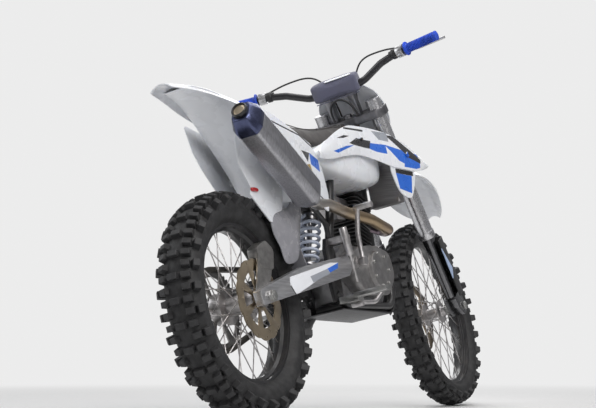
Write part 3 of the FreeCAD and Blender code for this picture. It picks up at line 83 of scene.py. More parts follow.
# Places: the bike leans, so each frame comes from the joints
JOINTS = {joint["name"]: joint for joint in frame["joints"]}
AXLE_LEAD = 0.057


def frame_of(origin, forward, left, up):
    """A frame as a matrix, from its origin and its three directions."""
    turn = Matrix((forward, left, up)).transposed()
    return Matrix.Translation(origin) @ turn.to_4x4()


def joint_place(name):
    """A joint's point and the unit vector of its axis."""
    return Vector(JOINTS[name]["pos_m"]), Vector(JOINTS[name]["axis"]).normalized()


REAR_AXLE, LEFT = joint_place("rear_wheel")
FRONT_AXLE, FRONT_LEFT = joint_place("front_wheel")
STEERING_UP = joint_place("steering")[1]
FORWARD = Vector((1, 0, 0))
UP = FORWARD.cross(LEFT)
FORK_FORWARD = FRONT_LEFT.cross(STEERING_UP).normalized()
REAR_WHEEL = frame_of(REAR_AXLE, FORWARD, LEFT, UP)
FRONT_WHEEL = frame_of(FRONT_AXLE, FORK_FORWARD, FRONT_LEFT, FORK_FORWARD.cross(FRONT_LEFT))
BIKE = frame_of(REAR_AXLE - UP * (REAR_AXLE.z / UP.z), FORWARD, LEFT, UP)
FORK = frame_of(FRONT_AXLE - FORK_FORWARD * AXLE_LEAD, FORK_FORWARD, FRONT_LEFT, STEERING_UP)
STRAIGHT_FORK = frame_of(FORK.to_translation(), LEFT.cross(STEERING_UP).normalized(), LEFT,
                         STEERING_UP)
STEERED = FORK @ STRAIGHT_FORK.inverted() @ BIKE
REAR_WHEEL_HEIGHT = (BIKE.inverted() @ REAR_AXLE).z / MM


# Modelling
RIM_ROUNDING = 0.8 * MM
EDGE_ANGLE = 30
FOAM_PRESSURE = 4
FOAM_FRAMES = 20


def deselect():
    """Leaves edit mode with nothing selected."""
    active = bpy.context.object
    if active and active.mode != "OBJECT":
        bpy.ops.object.mode_set(mode="OBJECT")
    bpy.ops.object.select_all(action="DESELECT")


def take(piece):
    """Makes a piece the only selected and the active one."""
    deselect()
    piece.select_set(True)
    bpy.context.view_layer.objects.active = piece
    return piece


def shaped(piece, **settings):
    """Adds one modifier and applies it."""
    kind = settings.pop("kind")
    take(piece)
    modifier = piece.modifiers.new(kind.title(), kind)
    for name, value in settings.items():
        setattr(modifier, name, value)
    bpy.ops.object.modifier_apply(modifier=modifier.name)
    return piece


def smooth(piece, angle=35):
    """Shades a piece smooth except across its sharp edges."""
    take(piece)
    bpy.ops.object.shade_smooth_by_angle(angle=math.radians(angle))
    return piece


def facing_out(piece):
    """Merges doubles and turns every face outwards."""
    take(piece)
    bpy.ops.object.mode_set(mode="EDIT")
    bpy.ops.mesh.select_all(action="SELECT")
    bpy.ops.mesh.remove_doubles(threshold=1e-6)
    bpy.ops.mesh.normals_make_consistent(inside=False)
    bpy.ops.object.mode_set(mode="OBJECT")
    return piece


def woven(name, rows, closed=False):
    """A sheet through rows of points; closed joins each row's ends, as round a tube."""
    deselect()
    count, across = len(rows), len(rows[0]) + (1 if closed else 0)
    bpy.ops.mesh.primitive_grid_add(x_subdivisions=count - 1, y_subdivisions=across - 1, size=2)
    piece = bpy.context.object
    piece.name = name
    for vertex in piece.data.vertices:
        row = round((vertex.co.x + 1) / 2 * (count - 1))
        column = round((vertex.co.y + 1) / 2 * (across - 1))
        vertex.co = rows[row][column % len(rows[0])]
    return facing_out(piece)


def capped(piece):
    """Closes a tube's open ends."""
    take(piece)
    bpy.ops.object.mode_set(mode="EDIT")
    bpy.ops.mesh.select_all(action="DESELECT")
    bpy.ops.mesh.select_non_manifold()
    bpy.ops.mesh.edge_face_add()
    bpy.ops.object.mode_set(mode="OBJECT")
    return facing_out(piece)


def joined(pieces, name):
    """Several pieces as one."""
    deselect()
    for piece in pieces:
        piece.select_set(True)
    bpy.context.view_layer.objects.active = pieces[0]
    if len(pieces) > 1:
        bpy.ops.object.join()
    pieces[0].name = name
    return pieces[0]


def copies(piece, places, name):
    """A piece repeated at each place, as one mesh; the first is not kept where it was."""
    made = []
    for place in places:
        other = piece.copy()
        other.data = piece.data.copy()
        bpy.context.collection.objects.link(other)
        other.data.transform(place)
        made.append(other)
    bpy.data.objects.remove(piece)
    return joined(made, name)


def peg(radius, length, sides):
    """A pin whose foot is at the origin; it rises along Z."""
    deselect()
    bpy.ops.mesh.primitive_cylinder_add(vertices=sides, radius=radius, depth=length,
                                        location=(0, 0, length / 2))
    bpy.ops.object.transform_apply()
    return bpy.context.object


def standing(point, ahead):
    """A place at a point whose Z looks along a direction."""
    return Matrix.Translation(point) @ Vector(ahead).to_track_quat("Z", "Y").to_matrix().to_4x4()


def stood(piece, point, ahead):
    """Stands a piece at a point in mm with its Z along a direction."""
    piece.data.transform(standing(Vector(point) * MM, ahead))
    return piece


def hose(name, points, radius, sides=12):
    """A round bar or hose along one smooth line that its points steer."""
    deselect()
    line = bpy.data.curves.new(name, "CURVE")
    line.dimensions = "3D"
    line.bevel_depth = radius
    line.bevel_resolution = max(1, sides // 4)
    line.use_fill_caps = True
    line.resolution_u = 8
    spline = line.splines.new("NURBS")
    spline.points.add(len(points) - 1)
    for knot, point in zip(spline.points, points):
        knot.co = (*point, 1)
    spline.order_u = 3
    spline.use_endpoint_u = True
    piece = bpy.data.objects.new(name, line)
    bpy.context.collection.objects.link(piece)
    take(piece)
    bpy.ops.object.convert(target="MESH")
    return smooth(bpy.context.object, 60)


def in_metres(rows):
    """Rows of points in mm as rows of vectors in metres."""
    return [[Vector(point) * MM for point in row] for row in rows]


def subdivided(piece, levels):
    """Rounds a piece by subdivision."""
    return shaped(piece, kind="SUBSURF", levels=levels, render_levels=levels)


def moulded(name, rows, wall=4.0, levels=2):
    """A moulded sheet through rows of points in mm, rounded by subdivision and given its wall."""
    piece = subdivided(woven(name, in_metres(rows)), levels)
    shaped(piece, kind="SOLIDIFY", thickness=wall * MM, offset=0)
    shaped(piece, kind="BEVEL", width=RIM_ROUNDING, segments=2, limit_method="ANGLE",
           angle_limit=math.radians(50))
    return smooth(piece, 50)


def even_ring(x, side, crest, foot):
    """A closed ring at x in mm that is the same on both sides, from one side's points (y, z)."""
    ring = side + [(0, crest)] + [(-y, z) for y, z in reversed(side)] + [(0, foot)]
    return [(x, y, z) for y, z in ring]


def shell(name, rows, levels=2):
    """A closed body through rings of points in mm, rounded by subdivision."""
    return smooth(subdivided(capped(woven(name, in_metres(rows), closed=True)), levels), 60)


def turned(name, profile, sides=32):
    """A round piece about Z from its profile of radius and height in mm."""
    turns = [2 * math.pi * step / sides for step in range(sides)]
    rows = [[(radius * math.cos(turn), radius * math.sin(turn), height) for turn in turns]
            for radius, height in profile]
    return smooth(capped(woven(name, in_metres(rows), closed=True)), 40)


def filled(piece, voxel, most):
    """A pad swollen by its foam: cloth under pressure that moves no further than most."""
    shaped(piece, kind="REMESH", mode="VOXEL", voxel_size=voxel)
    scene = bpy.context.scene
    cut_shape = [vertex.co.copy() for vertex in piece.data.vertices]
    take(piece)
    foam = piece.modifiers.new("Foam", "CLOTH")
    foam.settings.quality = 5
    foam.settings.use_pressure = True
    foam.settings.uniform_pressure_force = FOAM_PRESSURE
    foam.settings.effector_weights.gravity = 0
    for step in range(1, FOAM_FRAMES + 1):
        scene.frame_set(step)
    bpy.ops.object.modifier_apply(modifier=foam.name)
    scene.frame_set(1)
    for vertex, home in zip(piece.data.vertices, cut_shape):
        move = vertex.co - home
        if move.length > most:
            move.length = most
        vertex.co = home + move
    shaped(piece, kind="SMOOTH", factor=0.5, iterations=4)
    return smooth(subdivided(piece, 1), 60)


def fitted(piece, name, place, body, slot, replaces=(), finish=None):
    """Puts a piece in its place on the body that carries it, in its own finish or its slot's."""
    take(piece)
    bpy.ops.object.transform_apply()
    piece.data.transform(place)
    piece.name = name
    piece.data.materials.clear()
    piece.data.materials.append(finish_of(finish or slot))
    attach(piece, body)
    if replaces:
        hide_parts(*replaces)
    return piece


def softened(node, width, finish=None):
    """A copy of a frame node with its edges rounded and its round faces smooth."""
    take(frame["nodes"][node])
    bpy.ops.object.duplicate()
    piece = bpy.context.object
    body = piece["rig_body"]
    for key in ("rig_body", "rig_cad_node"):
        del piece[key]
    piece.parent = None
    take(piece)
    bpy.ops.object.mode_set(mode="EDIT")
    bpy.ops.mesh.select_all(action="SELECT")
    bpy.ops.mesh.remove_doubles(threshold=2e-5)
    bpy.ops.mesh.dissolve_limited(angle_limit=math.radians(0.5))
    bpy.ops.object.mode_set(mode="OBJECT")
    shaped(piece, kind="BEVEL", width=width, segments=2, limit_method="ANGLE",
           angle_limit=math.radians(EDGE_ANGLE), use_clamp_overlap=True, miter_outer="MITER_ARC")
    smooth(piece, EDGE_ANGLE)
    return fitted(piece, node + "_piece", Matrix(), body, slot_of(node), [node], finish)


def slot_of(node):
    """The record's material slot of a node."""
    parts = frame["record"]["subparts"]
    return next(part["material_slot"] for part in parts if part["node"] == node)


# Settings that a user would change
def length(name, description, default):
    """A length in metres."""
    return FloatProperty(name=name, description=description, default=default, unit="LENGTH")


def colour(name, description, default):
    """A colour in linear light."""
    return FloatVectorProperty(name=name, description=description, default=default, subtype="COLOR",
                               min=0.0, max=1.0)


class StageSizes(bpy.types.PropertyGroup):
    """The floor, the lamps and the camera."""
    floor_size: length("Floor", "Side of the floor", 24.0)
    lens: FloatProperty(name="Lens", description="Focal length of the camera", default=88.09,
                        subtype="DISTANCE_CAMERA")
    heading: FloatProperty(name="Heading", description="Camera's heading from forward to the left",
                           default=math.radians(28.379), subtype="ANGLE")
    pitch: FloatProperty(name="Pitch", description="Camera's angle above the horizon",
                         default=math.radians(5.805), subtype="ANGLE")
    eye: FloatVectorProperty(name="Eye", description="Camera from the ground under the rear axle",
                             default=(-3.6083, -2.0753, 0.1955), subtype="XYZ")
    light: FloatProperty(name="Light", description="Strength of all lamps", default=1.15, min=0.0)


class TyreSizes(bpy.types.PropertyGroup):
    """Both tyres and their knobs."""
    rows: IntProperty(name="Rows", description="Rows of knobs round a tyre", default=60, min=12)
    rear_radius: length("Rear radius", "To the top of the knobs", 0.335)
    rear_width: length("Rear width", "Carcass at its widest", 0.116)
    rear_seat: length("Rear seat", "Radius of the rim's bead seat", 0.232)
    rear_knob: length("Rear knob", "Height of a knob", 0.015)
    front_radius: length("Front radius", "To the top of the knobs", 0.347)
    front_width: length("Front width", "Carcass at its widest", 0.088)
    front_seat: length("Front seat", "Radius of the rim's bead seat", 0.270)
    front_knob: length("Front knob", "Height of a knob", 0.013)


class BodyColours(bpy.types.PropertyGroup):
    """The plastics, their printed shapes and the small coloured parts."""
    white: colour("White", "Bodywork", (0.80, 0.82, 0.86))
    blue: colour("Blue", "Printed shapes", (0.012, 0.13, 0.62))
    black: colour("Black", "Printed shapes", (0.012, 0.012, 0.014))
    grey: colour("Grey", "Printed shapes", (0.30, 0.32, 0.36))
    pale_blue: colour("Pale blue", "Panels of the fork guards", (0.38, 0.48, 0.68))
    gold: colour("Gold", "Panels of the side plates", (0.36, 0.24, 0.06))
    grip: colour("Grips", "Rubber of the grips", (0.008, 0.045, 0.36))
    spring: colour("Spring", "Paint of the shock's spring", (0.62, 0.68, 0.82))
    pad: colour("Pad", "Cloth of the handlebar pad", (0.165, 0.17, 0.26))


def tint(name):
    """One of the body's colours."""
    return tuple(getattr(bpy.context.scene.body_colours, name))


# Finishes: shader effects that more than one finish uses
class Shader:
    """A material's or a group's node tree, with short ways to add and link nodes."""

    def __init__(self, tree):
        self.tree = tree

    def add(self, kind, values=(), **settings):
        """A node with its settings; values maps inputs to values or to other sockets."""
        made = self.tree.nodes.new(kind)
        for name, value in settings.items():
            setattr(made, name, value)
        for name, value in dict(values).items():
            self.lay(made.inputs[name], value)
        return made

    def lay(self, socket, value):
        """Links another socket to a socket, or sets its value."""
        if isinstance(value, bpy.types.NodeSocket):
            self.tree.links.new(value, socket)
        else:
            socket.default_value = value

    def maths(self, operation, first, second=0.0, clamp=False):
        """The result of one operation on two numbers."""
        return self.add("ShaderNodeMath", {0: first, 1: second}, operation=operation,
                        use_clamp=clamp).outputs[0]

    def times(self, first, second):
        """The product of two numbers."""
        return self.maths("MULTIPLY", first, second)

    def plus(self, first, second, clamp=False):
        """The sum of two numbers."""
        return self.maths("ADD", first, second, clamp)

    def blend(self, share, first, second):
        """Two colours mixed by a share."""
        made = self.add("ShaderNodeMix", data_type="RGBA")
        for socket, value in ((0, share), (6, first), (7, second)):
            colour = not isinstance(value, bpy.types.NodeSocket) and socket != 0
            self.lay(made.inputs[socket], rgba(value) if colour else value)
        return made.outputs[2]

    def ramp(self, value, start, end, low=0.0, high=1.0):
        """A value spread from one range to another, with a smooth step."""
        made = self.add("ShaderNodeMapRange", {0: value, 1: start, 2: end, 3: low, 4: high},
                        interpolation_type="SMOOTHSTEP")
        return made.outputs[0]

    def noise(self, vector, scale, detail=3.0, roughness=0.55):
        """Noise of one scale."""
        values = {"Vector": vector, "Scale": scale, "Detail": detail, "Roughness": roughness}
        return self.add("ShaderNodeTexNoise", values).outputs[0]

    def feed(self, node, values):
        """Lays a node's inputs; underscores in their names stand for spaces."""
        for name, value in values.items():
            self.lay(node.inputs[name.replace("_", " ")], value)
        return node.outputs

    def group(self, effect, **values):
        """One of the shared effects."""
        return self.feed(self.add("ShaderNodeGroup", node_tree=EFFECTS[effect]), values)


def scaled(colour, share, more=0.0):
    """A colour made lighter or darker."""
    return [channel * share + more for channel in colour]


def rgba(colour):
    """A colour with its alpha."""
    return (*colour[:3], 1.0)


EFFECTS = {}
NUMBER, POINT = "NodeSocketFloat", "NodeSocketVector"


def new_effect(name, inputs, outputs):
    """An empty node group: a vector and its other inputs with their defaults, and its outputs."""
    tree = bpy.data.node_groups.new(name, "ShaderNodeTree")
    tree.interface.new_socket("Vector", in_out="INPUT", socket_type=POINT)
    for title, default in inputs.items():
        kind = NUMBER if isinstance(default, float) else POINT
        socket = tree.interface.new_socket(title, in_out="INPUT", socket_type=kind)
        socket.default_value = default
    for title in outputs:
        tree.interface.new_socket(title, in_out="OUTPUT", socket_type=NUMBER)
    EFFECTS[name] = tree
    shader = Shader(tree)
    return shader, shader.add("NodeGroupInput").outputs, shader.add("NodeGroupOutput").inputs


def make_effects():
    """Builds the shared effects once."""
    shader, given, result = new_effect("Grain", {"Size": 0.001}, ("Height", "Mottle"))
    scale = shader.maths("DIVIDE", 1.0, given["Size"])
    shader.lay(result["Height"], shader.noise(given["Vector"], scale, 2.0))
    coarse = shader.maths("DIVIDE", scale, 24.0)
    shader.lay(result["Mottle"], shader.noise(given["Vector"], coarse, 3.0))

    shader, given, result = new_effect("Scratches", {"Density": 0.5}, ("Mask",))
    total = None
    for turn in (0.35, 1.9, 2.7):
        settings = {"Vector": given["Vector"], "Rotation": (turn, turn * 0.6, turn),
                    "Scale": (9.0, 9.0, 260.0)}
        drawn_out = shader.add("ShaderNodeMapping", settings).outputs[0]
        line = shader.ramp(shader.noise(drawn_out, 3.0, 2.0), 0.66, 0.74)
        total = line if total is None else shader.maths("MAXIMUM", total, line)
    start = shader.maths("SUBTRACT", 1.0, given["Density"])
    patches = shader.ramp(shader.noise(given["Vector"], 14.0, 2.0), start, 1.0)
    shader.lay(result["Mask"], shader.times(total, patches))

    shader, given, result = new_effect("Brushing", {"Stretch": (1.0, 30.0, 1.0), "Scale": 40.0},
                                       ("Height", "Streaks"))
    drawn_out = shader.add("ShaderNodeVectorMath", {0: given["Vector"], 1: given["Stretch"]},
                           operation="MULTIPLY").outputs[0]
    shader.lay(result["Height"], shader.noise(drawn_out, given["Scale"], 4.0, 0.7))
    coarse = shader.times(given["Scale"], 0.3)
    shader.lay(result["Streaks"], shader.noise(drawn_out, coarse, 2.0))

    shader, given, result = new_effect("Wear", {"Amount": 0.5}, ("Edges", "Hollows"))
    point = shader.add("ShaderNodeNewGeometry").outputs["Pointiness"]
    rough = {0: shader.noise(given["Vector"], 90.0, 4.0), 1: 0.02, 2: -0.01}
    rough = shader.add("ShaderNodeMath", rough, operation="MULTIPLY_ADD").outputs[0]
    uneven = shader.plus(point, rough)
    edges = shader.ramp(uneven, 0.56, 0.66)
    shader.lay(result["Edges"], shader.times(edges, given["Amount"]))
    # Hollows: the concave places, where metal() paints shade
    hollows = shader.ramp(uneven, 0.44, 0.36)
    shader.lay(result["Hollows"], shader.times(hollows, given["Amount"]))

    shader, given, result = new_effect("Dust", {"Amount": 0.3}, ("Mask",))
    normal = shader.add("ShaderNodeNewGeometry").outputs["Normal"]
    upward = shader.add("ShaderNodeSeparateXYZ", {0: normal}).outputs[2]
    cloud = shader.ramp(shader.noise(given["Vector"], 22.0, 6.0, 0.65), 0.35, 0.8)
    lies = shader.times(shader.ramp(upward, -0.2, 1.0, 0.25, 1.0), cloud)
    shader.lay(result["Mask"], shader.times(lies, given["Amount"]))

    shader, given, result = new_effect("Side of a line",
                                       {"Point": (0, 0, 0), "Towards": (0, 0, 1)}, ("Mask",))
    offset = shader.add("ShaderNodeVectorMath", {0: given["Vector"], 1: given["Point"]},
                        operation="SUBTRACT").outputs[0]
    reach = shader.add("ShaderNodeVectorMath", {0: offset, 1: given["Towards"]},
                       operation="DOT_PRODUCT").outputs["Value"]
    shader.lay(result["Mask"], shader.ramp(reach, -0.0004, 0.0004))


DUST = (0.36, 0.32, 0.27)


class Finish(Shader):
    """A material with a Principled shader that reads the object's own coordinates."""

    def __init__(self, name, **values):
        self.material = bpy.data.materials.new(name)
        self.material.use_nodes = True
        super().__init__(self.material.node_tree)
        self.tree.nodes.clear()
        self.body = self.add("ShaderNodeBsdfPrincipled")
        self.output = self.add("ShaderNodeOutputMaterial", {0: self.body.outputs[0]})
        self.place = self.add("ShaderNodeTexCoord").outputs["Object"]
        self.feed(self.body, values)

    def grain(self, size):
        """A fine height and a coarse mottle."""
        grain = self.group("Grain", Vector=self.place, Size=size)
        return grain["Height"], grain["Mottle"]

    def wear(self, amount):
        """Masks of worn edges, and of hollows that metal() darkens as painted shade."""
        wear = self.group("Wear", Vector=self.place, Amount=amount)
        return wear["Edges"], wear["Hollows"]

    def dust(self, amount):
        """A mask of dust, thickest on what faces up."""
        return self.group("Dust", Vector=self.place, Amount=amount)["Mask"]

    def scratches(self, density):
        """A mask of fine scratches in patches."""
        return self.group("Scratches", Vector=self.place, Density=density)["Mask"]

    def done(self, tone, roughness, height, distance, strength=0.5):
        """The material with its colour, its roughness and its bumps."""
        bump = {"Height": height, "Distance": distance, "Strength": strength}
        bump = self.add("ShaderNodeBump", bump).outputs[0]
        self.feed(self.body, {"Base Color": tone, "Roughness": roughness, "Normal": bump})
        return self.material

    def upright(self):
        """Object coordinates on the upright bike, from the ground under the rear axle."""
        back = BIKE.inverted()
        turn = {"Vector": self.place, "Location": back.to_translation(),
                "Rotation": back.to_euler()}
        return self.add("ShaderNodeMapping", turn).outputs[0]

    def inside(self, place, corners):
        """Mask of a shape with straight sides, from its corners (x, z) in mm, counter-clockwise."""
        mask = None
        for index, (x, z) in enumerate(corners):
            next_x, next_z = corners[(index + 1) % len(corners)]
            along = Vector((next_x - x, next_z - z)).normalized()
            side = self.group("Side of a line", Vector=place, Point=(x * MM, 0, z * MM),
                              Towards=(-along.y, 0, along.x))["Mask"]
            mask = side if mask is None else self.times(mask, side)
        return mask

    def printed(self, tone, decals):
        """A colour with printed shapes over it, and the mask of what they leave bare."""
        if not decals:
            return tone, None
        upright, bare = self.upright(), None
        facing = self.add("ShaderNodeSeparateXYZ",
                          {0: self.place.node.outputs["Normal"]}).outputs[1]
        side = self.add("ShaderNodeSeparateXYZ", {0: upright}).outputs[1]
        outer = self.maths("GREATER_THAN", self.times(facing, side), 0.0)
        for ink, corners in decals:
            mask = self.times(outer, self.inside(upright, corners))
            tone = self.blend(mask, tone, tint(ink))
            left = self.maths("SUBTRACT", 1.0, mask, True)
            bare = left if bare is None else self.times(bare, left)
        return tone, bare


def metal(name, colour, roughness, stretch=None, grain=0.0008, bump=0.0002, dust=0.15, decals=()):
    """Bare metal: cast where it has no stretch, brushed along it where it has; its hollows get
    painted shade.
    """
    finish = Finish(name, Metallic=1.0)
    if stretch:
        brushed = finish.group("Brushing", Vector=finish.place, Stretch=stretch, Scale=40.0)
        height, mottle = brushed["Height"], brushed["Streaks"]
    else:
        height, mottle = finish.grain(grain)
    edges, hollows = finish.wear(0.8)
    dirt = finish.dust(dust)
    tone = finish.blend(finish.ramp(mottle, 0.3, 0.7), scaled(colour, 0.72), colour)
    tone = finish.blend(edges, tone, [min(1, channel) for channel in scaled(colour, 1.3)])
    # Painted shade: the hollows are darkened towards a third of the metal's colour
    tone = finish.blend(finish.times(hollows, 0.7), tone, scaled(colour, 0.35))
    tone, bare = finish.printed(tone, decals)
    rough = finish.ramp(height, 0.2, 0.8, roughness * 0.8, min(1.0, roughness * 1.25))
    clean = finish.maths("SUBTRACT", 1.0, dirt, True)
    clean = clean if bare is None else finish.times(clean, bare)
    finish.feed(finish.body, {"Metallic": clean})
    rough = finish.plus(rough, finish.times(dirt, 0.3), True)
    return finish.done(finish.blend(dirt, tone, DUST), rough, height, bump)


def paint(name, colour, roughness, worn=None, coat=0.0, grain=0.0012, bump=0.00006, dust=0.1,
          decals=()):
    """Painted or moulded surface with scuffs; worn is the colour that its edges have worn to."""
    finish = Finish(name, Coat_Weight=coat, Coat_Roughness=0.06)
    height, mottle = finish.grain(grain)
    dirt = finish.dust(dust)
    tone = finish.blend(finish.ramp(mottle, 0.3, 0.7), scaled(colour, 0.86), colour)
    if worn:
        tone = finish.blend(finish.wear(0.9)[0], tone, worn)
    tone = finish.printed(tone, decals)[0]
    rough = finish.ramp(mottle, 0.2, 0.8, roughness * 0.85, min(1.0, roughness * 1.2))
    scuffed = finish.plus(rough, finish.times(finish.scratches(0.6), 0.22))
    rough = finish.plus(scuffed, finish.times(dirt, 0.4), True)
    return finish.done(finish.blend(dirt, tone, DUST), rough, height, bump)


def plastic(name, decals=(), milky=False):
    """Gloss white moulded plastic with printed shapes; milky lets more light in."""
    finish = Finish(name, Coat_Weight=0.5, Coat_Roughness=0.08,
                    Subsurface_Weight=0.25 if milky else 0.08,
                    Subsurface_Radius=(0.02, 0.016, 0.012))
    height, mottle = finish.grain(0.003)
    scuffs = finish.scratches(0.62)
    white = tint("white")
    tone = finish.blend(finish.ramp(mottle, 0.3, 0.7), scaled(white, 0.975), white)
    tone = finish.printed(tone, decals)[0]
    tone = finish.blend(finish.times(scuffs, 0.12), tone, (0.6, 0.6, 0.6))
    tone = finish.blend(finish.dust(0.015), tone, DUST)
    rough = finish.ramp(mottle, 0.2, 0.8, 0.22, 0.32)
    rough = finish.plus(rough, finish.times(scuffs, 0.2), True)
    return finish.done(tone, rough, height, 0.00008, 0.3)


def rubber(name, colour, roughness=0.62, dust=0.2):
    """Tyre and grip rubber with dust in its hollows."""
    finish = Finish(name)
    height, mottle = finish.grain(0.0009)
    tone = finish.blend(finish.ramp(mottle, 0.3, 0.75), colour, scaled(colour, 1.9, 0.01))
    tone = finish.blend(finish.wear(0.6)[0], tone, scaled(colour, 2.6, 0.01))
    tone = finish.blend(finish.dust(dust), tone, (0.10, 0.09, 0.075))
    rough = finish.ramp(height, 0.2, 0.8, roughness - 0.12, roughness + 0.15)
    return finish.done(tone, rough, height, 0.0003)


def vinyl(name):
    """Seat cover: pebbled vinyl."""
    finish = Finish(name)
    pebbles = {"Vector": finish.place, "Scale": 620.0}
    cells = finish.add("ShaderNodeTexVoronoi", pebbles).outputs["Distance"]
    height, mottle = finish.grain(0.0015)
    mottle = finish.ramp(mottle, 0.3, 0.7)
    tone = finish.blend(mottle, (0.040, 0.036, 0.035), (0.066, 0.060, 0.058))
    tone = finish.blend(finish.dust(0.22), tone, (0.16, 0.15, 0.14))
    height = finish.plus(finish.times(cells, 0.7), finish.times(height, 0.3))
    return finish.done(tone, finish.ramp(cells, 0.0, 0.7, 0.42, 0.62), height, 0.0004, 0.6)


def heated(name):
    """Exhaust pipe: steel that the heat has tinted, more towards the engine."""
    finish = Finish(name, Metallic=1.0)
    along = finish.add("ShaderNodeSeparateXYZ", {0: finish.upright()}).outputs[0]
    height, mottle = finish.grain(0.002)
    spread = finish.plus(along, finish.times(mottle, 0.18))
    tone = finish.blend(finish.ramp(spread, 0.45, 0.80), (0.42, 0.40, 0.38), (0.36, 0.27, 0.17))
    tone = finish.blend(finish.ramp(spread, 0.90, 1.02), tone, (0.22, 0.17, 0.20))
    tone = finish.blend(finish.dust(0.2), tone, DUST)
    return finish.done(tone, finish.ramp(mottle, 0.2, 0.8, 0.28, 0.46), height, 0.0001)


def cloth(name, colour):
    """Woven cover of the handlebar pad."""
    finish = Finish(name, Sheen_Weight=0.3)
    threads = {"Vector": finish.place, "Scale": 420.0, "Distortion": 0.6, "Detail": 1.0}
    weave = finish.times(*[finish.add("ShaderNodeTexWave", threads, bands_direction=direction)
                           .outputs["Fac"] for direction in ("X", "Z")])
    mottle = finish.grain(0.002)[1]
    tone = finish.blend(finish.ramp(weave, 0.1, 0.8), scaled(colour, 0.6), colour)
    tone = finish.blend(finish.ramp(mottle, 0.5, 0.9, 0.0, 0.5), tone, (0.14, 0.13, 0.12))
    return finish.done(tone, 0.8, weave, 0.0004, 0.6)


# Printed shapes: one of the body's colours and corners (x, z) in mm, counter-clockwise
SHROUD_DECALS = (
    ("black", ((692, 867), (795, 865), (817, 896), (722, 896), (659, 870))),
    ("blue", ((795, 865), (835, 858), (898, 855), (905, 890), (811, 888))),
    ("blue", ((892, 855), (958, 834), (980, 813), (1004, 875), (905, 890))),
    ("blue", ((980, 813), (1050, 810), (1080, 816), (1086, 867), (1004, 875))),
    ("black", ((1024, 849), (1056, 875), (982, 932), (932, 931))),
    ("black", ((1024, 849), (1085, 831), (1094, 847), (1056, 875))),
    ("blue", ((535, 828), (569, 826), (692, 867), (633, 857))),
    ("black", ((631, 885), (678, 898), (641, 897), (586, 880))),
    ("black", ((661, 923), (793, 928), (801, 937), (668, 931))),
    ("grey", ((877, 907), (935, 904), (951, 941), (855, 940))),
    ("black", ((930, 790), (1030, 784), (1030, 800), (930, 806))),
    ("blue", ((940, 735), (1010, 722), (1022, 784), (930, 790))),
)
PLATE_DECALS = (
    ("black", ((148, 884), (346, 858), (348, 863), (150, 889))),
    ("black", ((346, 858), (450, 816), (452, 821), (348, 863))),
    ("black", ((374, 777), (393, 809), (341, 812))),
    ("gold", ((371, 718), (399, 721), (385, 772), (349, 764))),
    ("black", ((131, 854), (275, 739), (279, 744), (135, 859))),
    ("blue", ((392, 772), (445, 752), (447, 792), (393, 809))),
    ("black", ((275, 739), (440, 655), (442, 660), (279, 744))),
)
SWINGARM_DECALS = (
    ("white", ((129, 374), (156, 347), (267, 384), (472, 462), (418, 459), (134, 400))),
    ("grey", ((278, 390), (404, 424), (389, 438), (266, 408))),
    ("blue", ((405, 427), (465, 444), (472, 462), (389, 438))),
    ("black", ((129, 372), (154, 345), (158, 348), (133, 376))),
)
GUARD_DECALS = (
    ("pale_blue", ((1216, 513), (1264, 391), (1318, 385), (1358, 487), (1276, 562))),
)
